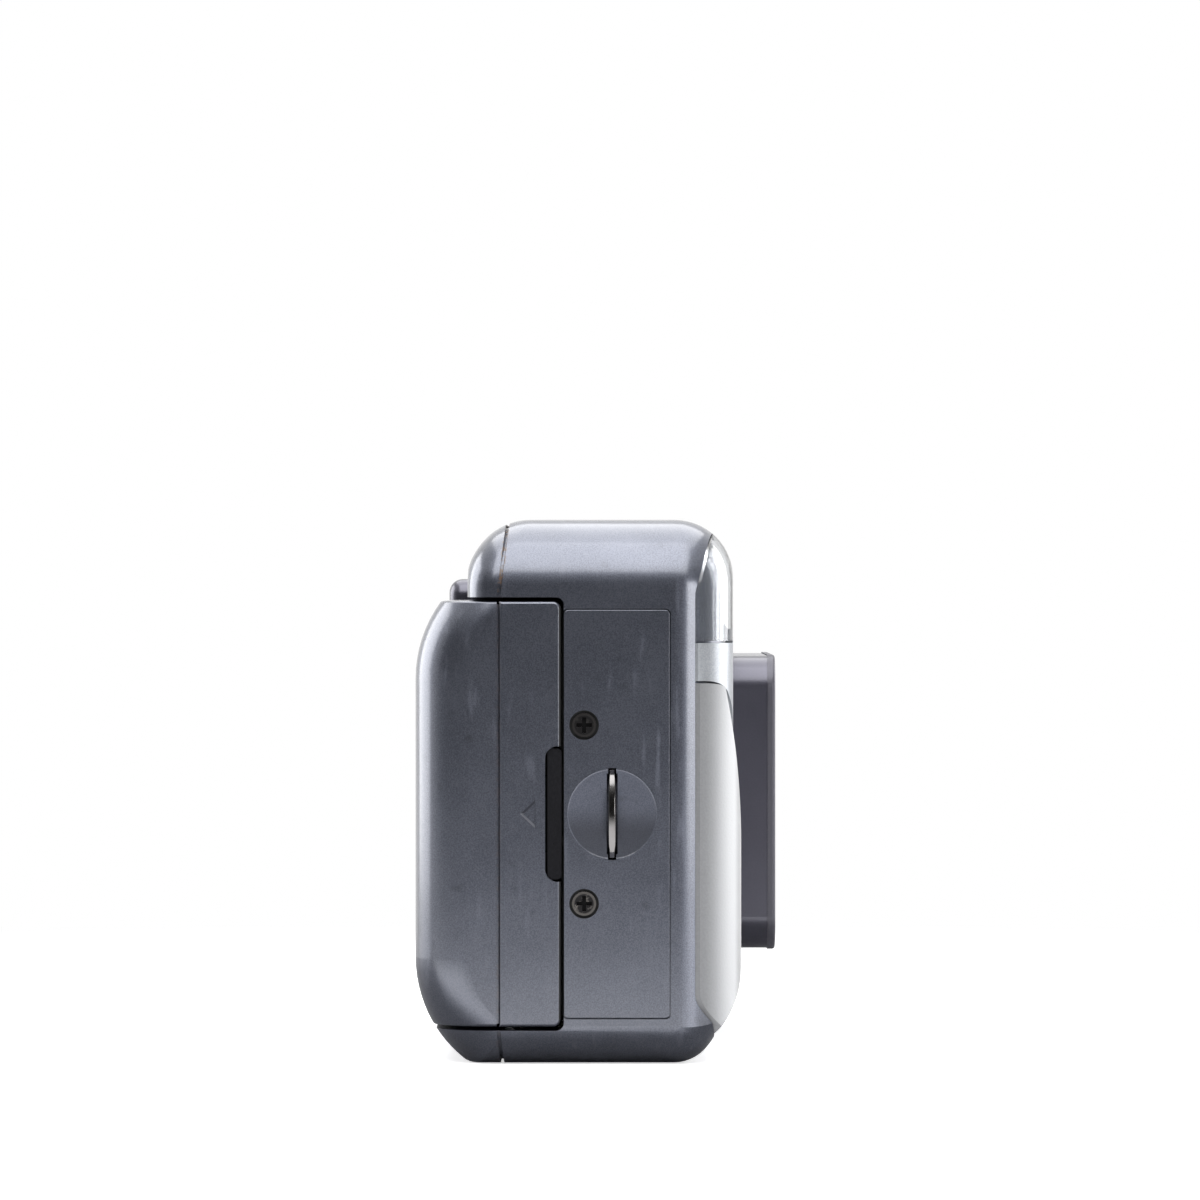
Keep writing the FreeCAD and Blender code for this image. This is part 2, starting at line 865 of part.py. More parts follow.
def door_shell(door_outer, door_inner):
    end = hinge_x - hinge_line / 2
    body = shared(door_outer, block(-far, end, seam_rear, far, door_low, door_high))
    body = softened(body, soft_edge, door_rim)
    pan = block(-far, end - hinge_wall, -far, far, door_low + wall, door_high - wall)
    beside = eyepiece_width / 2 + eyepiece_gap + eyepiece_notch_wall
    notch = block(lens_x - beside, lens_x + beside + eyepiece_swing_gap, -far, far,
                  eyepiece_low - eyepiece_gap - eyepiece_notch_wall, far)
    lip = block(-half_width + lip_depth, -half_width + lip_depth + lip_thick,
                seam_rear - flange_seam + lip_gap, seam_rear + root, door_low + soft_edge,
                door_high - soft_edge)
    shell = joined(without(body, without(shared(door_inner, pan), notch)), lip)
    shell = without(shell, rod_z(hinge_x, hinge_y, hinge_knuckle + knuckle_gap, hinge_low, hinge_high))
    for index, (start, end) in enumerate(hinge_spans()):
        if index % 2 == 1:
            continue
        start, end = start + knuckle_end_gap, end - knuckle_end_gap
        knuckle = rod_z(hinge_x, hinge_y, hinge_knuckle, start, end)
        arm = block(hinge_x - hinge_arm, hinge_x, hinge_y - hinge_arm_low, hinge_y + hinge_arm_high,
                    start, end)
        shell = joined(shell, knuckle, arm)
    opening = joined(eyepiece_block(eyepiece_gap, 0, far),
                     eyepiece_block(eyepiece_gap, 0, far).translated(Vector(eyepiece_swing_gap, 0, 0)))
    return without(shell, rod_z(hinge_x, hinge_y, hinge_pin_radius + hinge_bore_gap, hinge_low, hinge_high),
                   opening, opening.translated(Vector(0, 0, eyepiece_high - door_high)),
                   film_window_block(film_window_gap), *[thumb_groove(index) for index in range(thumb_grooves)])


def thumb_groove(index):
    x = thumb_x + index * thumb_pitch
    return prism("XZ", rectangle(x - thumb_half, x + thumb_half, film_level - thumb_reach,
                                 film_level + thumb_reach, thumb_half - touch), door_reach - thumb_depth, far)


def film_window_block(grow):
    half = film_window_half + grow
    return prism("XZ", rectangle(cartridge_x - half, cartridge_x + half, film_window_low - grow,
                                 film_window_high + grow, film_window_corner), door_reach - wall - touch, far)


def door_flange():
    outer = -half_width
    rear = seam_rear - flange_seam
    plate = prism("YZ", [(flange_front, door_low, flange_corner), (rear, door_low), (rear, door_high),
                         (flange_front, door_high, flange_corner)], outer, outer + flange_thick)
    plate = softened(plate, soft_edge, lambda edge: edge.BoundBox.XMax < outer + touch)
    inner = outer + wall
    low = door_low + wall + tongue_inset
    high = door_high - wall - tongue_inset
    tongue = block(inner, inner + tongue_thick, tongue_start, tongue_end, low, high)
    neck = block(outer + flange_thick - root, inner + tongue_thick, tongue_start, rear, low, high)
    rib = block(outer + flange_thick, outer + flange_thick + latch_rib_reach, latch_rib_y,
                latch_rib_y + latch_rib_width, film_level - latch_arm_half, film_level + latch_arm_half)
    notch = prism("YZ", rectangle(-far, flange_front + latch_notch_depth, latch_notch_low, latch_notch_high,
                                  latch_notch_corner), -far, outer + flange_thick + latch_catch_gap)
    arrow = prism("YZ", [(arrow_tip, film_level), (arrow_base, film_level - arrow_height / 2),
                         (arrow_base, film_level + arrow_height / 2)], outer - far, outer + arrow_depth)
    return without(joined(plate, tongue, neck, rib), notch, arrow)


def door_latch():
    """Press-in catch: a pad in the notch of the flange, an arm behind the flange and a nose."""
    low = latch_notch_low + latch_clear
    high = latch_notch_high - latch_clear
    inner = latch_arm_x + latch_arm_thick
    pad = prism("YZ", rectangle(flange_front - latch_pad_edge, flange_front + latch_notch_depth - latch_clear,
                                low, high, latch_pad_corner), -half_width + latch_pad_sink, inner)
    arm = block(latch_arm_x, inner, flange_front, latch_nose_y + latch_nose_width,
                film_level - latch_arm_half, film_level + latch_arm_half)
    nose = block(-half_width + flange_thick + latch_rib_reach + latch_catch_gap, latch_arm_x, latch_nose_y,
                 latch_nose_y + latch_nose_width, film_level - latch_arm_half, film_level + latch_arm_half)
    return joined(pad, arm, nose)


def latch_guides():
    """Ears of the chassis above and below the latch pad."""
    ears = []
    for level, step in ((latch_notch_high, 1), (latch_notch_low, -1)):
        start, end = sorted((level, level + step * latch_ear_thick))
        ears.append(block(latch_arm_x - root, chassis_left + root, flange_front + latch_pad_edge,
                          flange_front + latch_notch_depth - latch_clear, start, end))
    return ears


def face_layer():
    return without(shared(form(0, "top"), panel_zone(-panel_gap)), form(panel_thick, "top"))


def face_panel(layer):
    cuts = [prism("XZ", grip_outline(-panel_gap), -far, 0), prism("XZ", flash_outline(-flash_gap), -far, 0),
            lens_block(surround_fit, -far, 0), finder_block(panel_gap, -far, 0)]
    cuts += [rod_y(x, finder_window_level, focus_radius + panel_gap, -far, 0) for x in focus_places()]
    cuts.append(rod_y(lamp_x, finder_window_level, lamp_radius + panel_gap, -far, 0))
    return without(layer, *cuts)


def grip_panel():
    bulged = form(0, "top", grip_bulge)
    reach = front_reach + grip_bulge
    front = -reach - grip_proud
    fall = grip_bulge_radius * math.tan(grip_fall_turn / 2)
    foot_level = grip_chin_level - grip_chin_radius
    nose = prism("YZ", [(front, grip_bulge_level + fall, grip_bulge_radius),
                        (front + (far - fall) * math.tan(grip_fall_turn), grip_bulge_level + far),
                        (far, grip_bulge_level + far), (far, foot_level),
                        (front, foot_level, grip_chin_radius)], -far, far)
    solid = shared(bulged, nose, panel_zone(-panel_gap), prism("XZ", grip_outline(panel_gap), -far, 0))
    return without(solid, form(panel_thick, "top"))


def flash_window(layer):
    return shared(layer, prism("XZ", flash_outline(0), -far, 0))


def reflector_bowl(inset, left, right):
    """Trough with a round floor, drawn in by inset."""
    floor = reflector_mouth + reflector_depth - inset
    half = reflector_floor - inset / 2
    mouth = reflector_mouth - inset / 2
    return prism("YZ", [(mouth, reflector_low + inset), (floor, reflector_middle - half, reflector_bend),
                        (floor, reflector_middle + half, reflector_bend), (mouth, reflector_high - inset)],
                 left, right)


def flash_reflector():
    tube = rod_x(flash_tube_y, reflector_middle, flash_tube_radius, reflector_left, reflector_right)
    hollow = reflector_bowl(reflector_wall, reflector_left + reflector_end, reflector_right - reflector_end)
    return without(reflector_bowl(0, reflector_left, reflector_right), hollow, tube)


def flash_tube():
    return rod_x(flash_tube_y, reflector_middle, flash_tube_radius - flash_tube_fit,
                 reflector_left + flash_tube_inset, reflector_right - flash_tube_inset)


def side_panel():
    plate = prism("YZ", side_outline(0), -half_width, -half_width + side_thick)
    plate = softened(plate, side_soft, lambda edge: edge.BoundBox.XMax < touch - half_width)
    cuts = [dish_bowl()]
    cuts += [rod_x(y, z, screw_recess_radius, -far, -half_width + screw_head_depth + screw_sink)
             for y, z in side_screw_places()]
    cuts += [rod_x(y, z, screw_shank_radius + screw_fit, -far, 0) for y, z in side_screw_places()]
    return without(plate, strap_slot(), *cuts)


def strap_slot():
    """Straight slot across the dish that seats the ends of the strap bar."""
    reach = dish_radius + strap_slot_reach
    floor = -half_width + strap_bar_sink + strap_bar_bow + strap_bar_thick
    slots = []
    for gap, end in ((strap_bar_gap, reach), (strap_slot_gap, reach - strap_seat)):
        width = strap_bar_width / 2 + gap
        slots.append(block(-far, floor, dish_y - width, dish_y + width, film_level - end, film_level + end))
    return joined(*slots)


def strap_bar():
    """Arched flat bar, highest at its middle."""
    reach = dish_radius - strap_bar_inset
    arch = (reach ** 2 + strap_bar_bow ** 2) / (2 * strap_bar_bow) + strap_bar_thick / 2
    centre = -half_width + strap_bar_sink + arch
    low = dish_y - strap_bar_width / 2
    high = dish_y + strap_bar_width / 2
    ring = without(rod_y(centre, film_level, arch, low, high),
                   rod_y(centre, film_level, arch - strap_bar_thick, low, high))
    bar = shared(ring, block(-far, centre, low, high, film_level - reach, film_level + reach))
    return softened(bar, strap_bar_soft, lambda edge: edge.BoundBox.YLength < touch < edge.BoundBox.XLength
                    and edge.BoundBox.ZLength > reach)


def cross_screw(head_depth):
    """Cross-head screw along +Z with its head's top at the origin, pointing down."""
    head = rod_z(0, 0, screw_head_radius, -head_depth, 0)
    shank = rod_z(0, 0, screw_shank_radius, -head_depth - screw_shank_length, -head_depth)
    reach, half = screw_cross_reach, screw_cross_half
    slots = [block(-reach, reach, -half, half, -screw_cross_depth, far),
             block(-half, half, -reach, reach, -screw_cross_depth, far)]
    return without(joined(head, shank), *slots)


def side_screws():
    screws = []
    for y, z in side_screw_places():
        screw = cross_screw(screw_head_depth)
        screw.rotate(Vector(0, 0, 0), Vector(0, 1, 0), -90)
        screw.translate(Vector(-half_width + screw_sink, y, z))
        screws.append(screw)
    return Part.makeCompound(screws)


def base_screws():
    screws = []
    for x, y in base_screw_places():
        screw = cross_screw(screw_head_depth)
        screw.rotate(Vector(0, 0, 0), Vector(1, 0, 0), 180)
        screw.translate(Vector(x, y, screw_seat))
        screws.append(screw)
    return Part.makeCompound(screws)


def chassis():
    gate_left = lens_x - gate_width / 2
    gate_right = lens_x + gate_width / 2
    back = film_plane - rail_height
    core = block(chassis_left, chassis_right, chassis_front, back, chassis_low, chassis_high)
    drum = rod_z(cartridge_x, cartridge_y, cartridge_radius + chamber_wall, chassis_low, chassis_high)
    drum = shared(drum, block(chassis_left, 0, -far, back, -far, far))
    frame = joined(core, drum)
    for near in (rail_inner, rail_outer):
        for side in (-1, 1):
            low, high = sorted((film_level + side * near, film_level + side * (near + rail_width)))
            rail = block(gate_left - rail_run, gate_right + rail_run, back, film_plane, low, high)
            frame = joined(frame, rail)
    cuts = [rod_z(cartridge_x, cartridge_y, cartridge_radius, chamber_low, chamber_high),
            block(cartridge_x - cartridge_radius, cartridge_x + cartridge_radius, cartridge_y, far,
                  chamber_low, chamber_high),
            rod_z(spool_x, spool_y, spool_chamber_radius, chamber_low, chamber_high),
            block(spool_x - spool_chamber_radius, spool_x + spool_chamber_radius, spool_y, far,
                  chamber_low, chamber_high),
            rod_z(sprocket_x, sprocket_y, sprocket_radius + sprocket_tooth + sprocket_gap,
                  film_level - sprocket_reach - end_gap, film_level + sprocket_reach + end_gap),
            rod_y(lens_x, film_level, cradle_flange + cradle_fit, -far, cradle_back),
            prism("XZ", rectangle(gate_left, gate_right, film_level - gate_height / 2,
                                  film_level + gate_height / 2, gate_corner), 0, far),
            rod_z(battery_x, battery_y, battery_radius + battery_gap, -far,
                  battery_low + battery_length + contact_rise),
            rod_z(motor_x, motor_y, motor_radius + motor_fit, -far, chassis_low + motor_length),
            rod_z(spool_x, spool_y, shaft_radius + shaft_gap, 0, far),
            rod_z(sprocket_x, sprocket_y, sprocket_shaft + shaft_gap, 0, far),
            rod_z(cartridge_x, cartridge_y, shaft_radius + shaft_gap, film_level, far),
            finder_zone(finder_fit),
            rod_z(0, 0, bush_radius + bush_fit, 0, bush_height + end_gap)]
    frame = without(frame, *cuts)
    idler = idler_place()
    pin = rod_z(idler[0], idler[1], idler_pin, gear_low - idler_pin_foot, chassis_low + root)
    bosses = [without(rod_z(x, y, base_boss_radius, wall, chassis_low + root),
                      rod_z(x, y, screw_shank_radius, 0, far)) for x, y in base_screw_places()]
    posts = [rod_y(x, z, board_post_radius, board_y + board_thick, chassis_front)
             for x in (board_left + board_inset, board_right - board_inset)
             for z in (board_low + board_inset, board_high - board_inset)]
    return joined(frame, pin, *(latch_guides() + bosses + posts))


def light_seals():
    strips = []
    for edge in (door_low, door_high - wall):
        strip = block(seal_left, seal_right, film_plane - rail_height, seam_rear - root, edge + root,
                      edge + wall - root)
        strips.append(without(strip, finder_zone(finder_fit)))
    return Part.makeCompound(strips)


def lens_cradle():
    bore = barrel_radius + barrel_gap
    tube = rod_y(lens_x, film_level, bore + cradle_wall, cradle_front, cradle_back)
    flange = rod_y(lens_x, film_level, cradle_flange, cradle_back - cradle_flange_thick, cradle_back)
    return without(joined(tube, flange), rod_y(lens_x, film_level, bore, -far, cradle_back - cradle_floor),
                   rod_y(lens_x, film_level, bore - cradle_lip, -far, far))


def lens_surround():
    seat = -block_seat
    body = lens_block(0, -block_front, seat)
    foot = lens_block(-block_foot / 2 - surround_fit, seat - root,
                      -front_reach + panel_thick + block_foot_depth)
    hole = rod_y(lens_x, film_level, barrel_radius + surround_gap, -far, far)
    collar = rod_y(lens_x, film_level, barrel_radius + barrel_gap + cradle_wall + surround_fit,
                   cradle_front - surround_fit, far)
    return without(joined(body, foot), hole, collar)


def lens_bezel():
    plate = lens_block(bezel_lip, -block_front - bezel_thick, -block_front)
    plate = softened(plate, soft_edge, lambda edge: edge.BoundBox.YMax < touch - block_front - bezel_thick)
    return without(plate, rod_y(lens_x, film_level, barrel_radius + bezel_gap, -far, far))


def outer_barrel():
    inner = barrel_radius - barrel_wall
    tube = rod_y(lens_x, film_level, barrel_radius, -barrel_front, barrel_back)
    tube = softened(tube, barrel_soft, lambda edge: edge.BoundBox.YMax < touch - barrel_front)
    return without(tube, rod_y(lens_x, film_level, inner, -far, far))


def inner_barrel():
    outer = barrel_radius - barrel_wall - barrel_gap
    inner = outer - inner_barrel_wall
    front = -inner_barrel_front
    tube = rod_y(lens_x, film_level, outer, front, inner_barrel_back)
    hollow = rod_y(lens_x, film_level, inner, front + cap_thick, far)
    mouth = rod_y(lens_x, film_level, barrier_aperture, -far, far)
    flare = Part.makeCone(barrier_aperture + mouth_flare, barrier_aperture, mouth_flare_depth,
                          Vector(lens_x, front - touch, film_level), Vector(0, 1, 0))
    barrel = without(tube, hollow, mouth, flare)
    blades = ((front + barrier_at + blade_seat, barrier_aperture, barrier_pivot),
              (front + shutter_at + blade_seat, shutter_aperture, shutter_pivot))
    for level, aperture, pivot in blades:
        plate = rod_y(lens_x, film_level, inner, level, level + blade_plate)
        pins = [rod_y(lens_x + side * pivot, film_level, blade_pin_radius, level - blade_pin_rise, level)
                for side in (-1, 1)]
        plate = without(plate, rod_y(lens_x, film_level, aperture + blade_clear, -far, far))
        barrel = joined(barrel, plate, *pins)
    for level, thick, radius in ((front + front_lens_at, front_lens_thick, front_lens_radius),
                                 (front + rear_lens_at, rear_lens_thick, rear_lens_radius)):
        seat = rod_y(lens_x, film_level, inner, level + lens_seat_at, level + thick - lens_seat_margin)
        barrel = joined(barrel, without(seat, rod_y(lens_x, film_level, radius, -far, far)))
    return barrel


def blade(radius, pivot, level, side):
    """Half-round blade. side is 1 for the upper blade, pivoted at +X, and -1 for the lower one."""
    disc = rod_y(lens_x, film_level, radius, level, level + blade_thick)
    half = block(lens_x - far, lens_x + far, -far, far, film_level + blade_split / 2, far)
    arm = block(lens_x + radius - blade_arm, lens_x + pivot, level, level + blade_thick,
                film_level + blade_split / 2, film_level + blade_ear)
    ear = rod_y(lens_x + pivot, film_level, blade_ear, level, level + blade_thick)
    bore = rod_y(lens_x + pivot, film_level, blade_pin_radius + shaft_gap, -far, far)
    shape = without(joined(shared(disc, half), arm, ear), bore)
    if side < 0:
        shape.rotate(Vector(lens_x, 0, film_level), Vector(0, 1, 0), 180)
    return shape


def glass(radius, bulge, front, thick):
    ball = (radius ** 2 + bulge ** 2) / (2 * bulge)
    dome = Part.makeSphere(ball, Vector(lens_x, front + ball, film_level))
    return shared(rod_y(lens_x, film_level, radius, front, front + thick), dome)


def finder_zone(grow):
    half = finder_width / 2 + grow
    return block(lens_x - half, lens_x + half, -far, far, finder_low, far)


def finder_body():
    half = finder_width / 2
    body = block(lens_x - half, lens_x + half, -front_reach + wall + finder_front_gap, seam_rear, finder_low,
                 finder_high)
    tunnel = block(lens_x - half + finder_wall, lens_x + half - finder_wall, -far, far,
                   finder_low + 2 * finder_wall, finder_high - finder_wall)
    return without(body, tunnel)


def finder_window(layer):
    return shared(layer, finder_block(0, -far, 0))


def eyepiece_frame():
    body = eyepiece_block(0, seam_rear, eyepiece_reach)
    body = softened(body, eyepiece_rim, lambda edge: edge.BoundBox.YMin > eyepiece_reach - touch)
    return without(body, eyepiece_pane(0, far))


def eyepiece_pane(start, end):
    middle = (eyepiece_low + eyepiece_high) / 2
    half = eyepiece_lens_width / 2
    rise = eyepiece_lens_height / 2
    return prism("XZ", rectangle(lens_x - half, lens_x + half, middle - rise, middle + rise, pane_corner),
                 start, end)


def eyepiece_lens():
    rear = eyepiece_reach - eyepiece_lens_sink
    return eyepiece_pane(rear - eyepiece_lens_thick, rear)


def focus_windows(layer):
    rods = [rod_y(x, finder_window_level, focus_radius, -far, 0) for x in focus_places()]
    return Part.makeCompound([shared(layer, rod) for rod in rods])


def timer_lamp(layer):
    return shared(layer, rod_y(lamp_x, finder_window_level, lamp_radius, -far, 0))


def display_window():
    return display_block(0, body_height - window_thick, body_height)


def display_panel():
    top = body_height - window_thick - panel_shelf_drop
    return display_block(-panel_shelf_fit, top - panel_shelf_thick, top)


def push_button(x, y, radius, dished=0.0):
    """Round key with a skirt that stops it under the cover."""
    top = body_height - button_sink
    key = rod_z(x, y, radius, top - button_height, top)
    key = softened(key, button_soft, lambda edge: edge.BoundBox.ZMin > top - touch)
    skirt = rod_z(x, y, radius + button_skirt, top - button_height - button_skirt_thick, top - button_height)
    button = joined(key, skirt)
    if dished:
        ball = (radius * radius * button_dish_share + dished ** 2) / (2 * dished)
        button = without(button, Part.makeSphere(ball, Vector(x, y, top + ball - dished)))
    return button


def zoom_rocker():
    top = body_height - button_sink
    key = rocker_block(0, top - button_height, top)
    key = softened(key, rocker_soft, lambda edge: edge.BoundBox.ZMin > top - touch)
    dip = top + rocker_dip_ball - rocker_dip_depth
    dips = [Part.makeSphere(rocker_dip_ball, Vector(rocker_x + side * rocker_dip_reach, rocker_y, dip))
            for side in (-1, 1)]
    return without(key, *dips)


def rewind_button():
    key = rod_z(rewind_x, rewind_y, rewind_radius, rewind_sink, rewind_head_low)
    return joined(key, rod_z(rewind_x, rewind_y, rewind_radius + rewind_head, rewind_head_low,
                             rewind_head_low + rewind_head_thick))


def battery_hinge():
    """Y and Z of the battery cover's pins."""
    edge = battery_y + battery_radius + battery_door_margin - battery_door_gap
    return edge - battery_hinge_inset, battery_hinge_inset


def battery_cover():
    y, z = battery_hinge()
    reach = battery_radius + battery_door_margin + battery_pin_reach
    pins = rod_x(y, z, battery_pin_radius, battery_x - reach, battery_x + reach)
    plate = battery_door_block(battery_door_gap, 0, battery_door_thick)
    plate = softened(plate, battery_soft, lambda edge: edge.BoundBox.ZMax < touch)
    return joined(plate, pins)


def tripod_bush():
    bush = rod_z(0, 0, bush_radius, 0, bush_height)
    return without(bush, rod_z(0, 0, bush_bore, -far, bush_thread_depth))


def battery():
    top = battery_low + battery_length
    body = rod_z(battery_x, battery_y, battery_radius, battery_low, top - battery_cap_rise)
    body = softened(body, battery_edge, lambda edge: edge.BoundBox.ZMax < battery_low + touch)
    return joined(body, rod_z(battery_x, battery_y, battery_cap_radius, battery_low + battery_edge, top))


def battery_contacts():
    cap = battery_low + battery_length
    top = cap + contact_rise
    plate = block(battery_x - contact_long, battery_x + contact_long, battery_y - contact_broad,
                  battery_y + contact_broad, top - contact_thick, top)
    return joined(plate, rod_z(battery_x, battery_y, contact_pin, cap + contact_gap, top))


def idler_place():
    """Centre of the idler, one centre distance from the spool and one from the motor pinion."""
    to_spool = gear_module * (spool_gear_teeth + idler_teeth) / 2
    to_pinion = gear_module * (pinion_teeth + idler_teeth) / 2
    across = Vector(motor_x - spool_x, motor_y - spool_y, 0)
    span = across.Length
    along = (to_spool ** 2 - to_pinion ** 2 + span ** 2) / (2 * span)
    height = math.sqrt(to_spool ** 2 - along ** 2)
    across.normalize()
    return (spool_x + across.x * along + across.y * height, spool_y + across.y * along - across.x * height)


def gear(teeth, x, y, tooth_angle):
    """Spur gear with one tooth centred on tooth_angle, in degrees."""
    pitch = gear_module * teeth / 2
    radii = (pitch - tooth_root * gear_module, pitch, pitch + tooth_tip * gear_module)
    flank = [(radius, -share) for radius, share in zip(radii, tooth_shares)]
    flank += [(radius, -share) for radius, share in reversed(flank)]
    step = 2 * math.pi / teeth
    points = []
    for index in range(teeth):
        centre = math.radians(tooth_angle) + index * step
        for radius, share in flank:
            angle = centre + share * step
            points.append(Vector(x + radius * math.cos(angle), y + radius * math.sin(angle), gear_low))
    face = Part.Face(Part.makePolygon(points + points[:1]))
    return face.extrude(Vector(0, 0, gear_thick))


def direction(from_x, from_y, to_x, to_y):
    return math.degrees(math.atan2(to_y - from_y, to_x - from_x))


def takeup_spool():
    low = chamber_low + end_gap
    high = chamber_high - end_gap
    idler = idler_place()
    drum = rod_z(spool_x, spool_y, spool_radius, low, high)
    flanges = [rod_z(spool_x, spool_y, spool_radius + spool_flange, level, level + spool_flange_thick)
               for level in (low, high - spool_flange_thick)]
    shaft = rod_z(spool_x, spool_y, shaft_radius, gear_low, chassis_high - end_gap)
    wheel = gear(spool_gear_teeth, spool_x, spool_y, direction(spool_x, spool_y, idler[0], idler[1]))
    slot = block(spool_x - spool_slot_half, spool_x + spool_slot_half, -far,
                 spool_y - spool_radius + spool_slot_depth, film_level - spool_slot_reach,
                 film_level + spool_slot_reach)
    rim = spool_y + spool_radius
    teeth = []
    for side in (-1, 1):
        level = film_level + side * spool_tooth_level
        teeth.append(block(spool_x - spool_tooth_half, spool_x + spool_tooth_half, rim - spool_tooth_foot,
                           rim + spool_tooth, level - spool_tooth_half, level + spool_tooth_half))
    return without(joined(drum, shaft, wheel, *(flanges + teeth)), slot)


def idler_gear():
    x, y = idler_place()
    facing = direction(x, y, spool_x, spool_y) + 180.0 / idler_teeth
    return without(gear(idler_teeth, x, y, facing), rod_z(x, y, idler_pin + shaft_gap, -far, far))


def motor_pinion():
    x, y = idler_place()
    step = 360.0 / idler_teeth
    idler_phase = direction(x, y, spool_x, spool_y) + 180.0 / idler_teeth
    facing = direction(x, y, motor_x, motor_y)
    offset = (facing - idler_phase) / step
    part_tooth = offset - math.floor(offset)
    own = facing + 180.0 + (0.5 + part_tooth) * 360.0 / pinion_teeth
    bore = rod_z(motor_x, motor_y, motor_shaft + shaft_gap, -far, far)
    return without(gear(pinion_teeth, motor_x, motor_y, own), bore)


def wind_motor():
    body = rod_z(motor_x, motor_y, motor_radius, chassis_low + root, chassis_low + motor_length - motor_fit)
    return joined(body, rod_z(motor_x, motor_y, motor_shaft, gear_low - root, chassis_low + 2 * root))


def sprocket():
    x, y = sprocket_x, sprocket_y
    low, high = film_level - sprocket_reach, film_level + sprocket_reach
    drum = joined(rod_z(x, y, sprocket_radius, film_level + sprocket_waist_reach, high),
                  rod_z(x, y, sprocket_radius, low, film_level - sprocket_waist_reach),
                  rod_z(x, y, sprocket_radius - sprocket_waist, low, high),
                  rod_z(x, y, sprocket_shaft, chassis_low + end_gap, chassis_high - end_gap))
    start = x + sprocket_radius - sprocket_tooth_root
    length = sprocket_tooth + sprocket_tooth_root
    teeth = []
    for index in range(sprocket_teeth):
        for level in (film_level - sprocket_tooth_level, film_level + sprocket_tooth_level):
            tooth = Part.makeCone(sprocket_tooth_radius, sprocket_tooth_tip, length,
                                  Vector(start, y, level), Vector(1, 0, 0))
            tooth.rotate(Vector(x, y, 0), Vector(0, 0, 1), index * 360.0 / sprocket_teeth)
            teeth.append(tooth)
    return joined(drum, *teeth)


def rewind_fork():
    x, y = cartridge_x, cartridge_y
    top = chamber_high - end_gap
    shaft = rod_z(x, y, shaft_radius, chamber_high - fork_shaft_foot, chassis_high - end_gap)
    collar = rod_z(x, y, fork_collar, top - fork_collar_thick, top)
    blades = block(x - fork_blade_width, x + fork_blade_width, y - fork_blade_half, y + fork_blade_half,
                   chamber_high - fork_reach, chamber_high - fork_blade_top)
    return joined(shaft, collar, blades)


def door_frame():
    back = door_reach - wall
    front = back - door_frame_thick
    low, high = door_round_low + door_frame_edge, door_round_high - door_frame_edge
    plate = block(door_frame_left, hinge_x - door_frame_inset, front, back, low, high)
    window = film_window_block(door_frame_edge).translated(Vector(0, -door_frame_thick - door_rib, 0))
    posts = []
    for x in (lens_x - door_post_left, lens_x + door_post_right):
        for side in (-1, 1):
            posts.append(rod_y(x, film_level + side * door_post_rise, door_post_radius,
                               plate_back() + post_gap, front))
    ribs = [block(door_frame_left + door_rib, hinge_x - door_rib_inset, front - door_rib, front,
                  z - door_rib / 2, z + door_rib / 2) for z in (low + door_rib, high - door_rib)]
    return without(joined(plate, *(posts + ribs)), window)


def film_window(door_outer):
    return shared(film_window_block(0), door_outer)


def pressure_plate():
    return prism("XZ", rectangle(lens_x - plate_left, lens_x + plate_right, film_level - plate_rise,
                                 film_level + plate_rise, plate_corner), film_plane + plate_gap, plate_back())


def plate_back():
    return film_plane + plate_gap + plate_thick


def leaf_spring(x, z, length, breadth, base, rise):
    """Bowed strip that rises towards -Y from its seat at y = base."""
    half = length / 2
    flat = half * spring_flat
    crest = base - rise
    outer = prism("XY", [(x - half, base), (x - half, base - spring_thick), (x - flat, crest, spring_bend),
                         (x + flat, crest, spring_bend), (x + half, base - spring_thick), (x + half, base)],
                  z - breadth / 2, z + breadth / 2)
    bend = spring_bend - spring_thick
    under = crest + spring_thick
    inner = prism("XY", [(x - half + spring_foot, base + touch), (x - flat, under, bend),
                         (x + flat, under, bend), (x + half - spring_foot, base + touch)], -far, far)
    return without(outer, inner)


def main_board():
    return block(board_left, board_right, board_y, board_y + board_thick, board_low, board_high)


def flash_capacitor():
    z = chassis_high + capacitor_radius + capacitor_gap
    return rod_x(capacitor_y, z, capacitor_radius, capacitor_x - capacitor_length / 2,
                 capacitor_x + capacitor_length / 2)


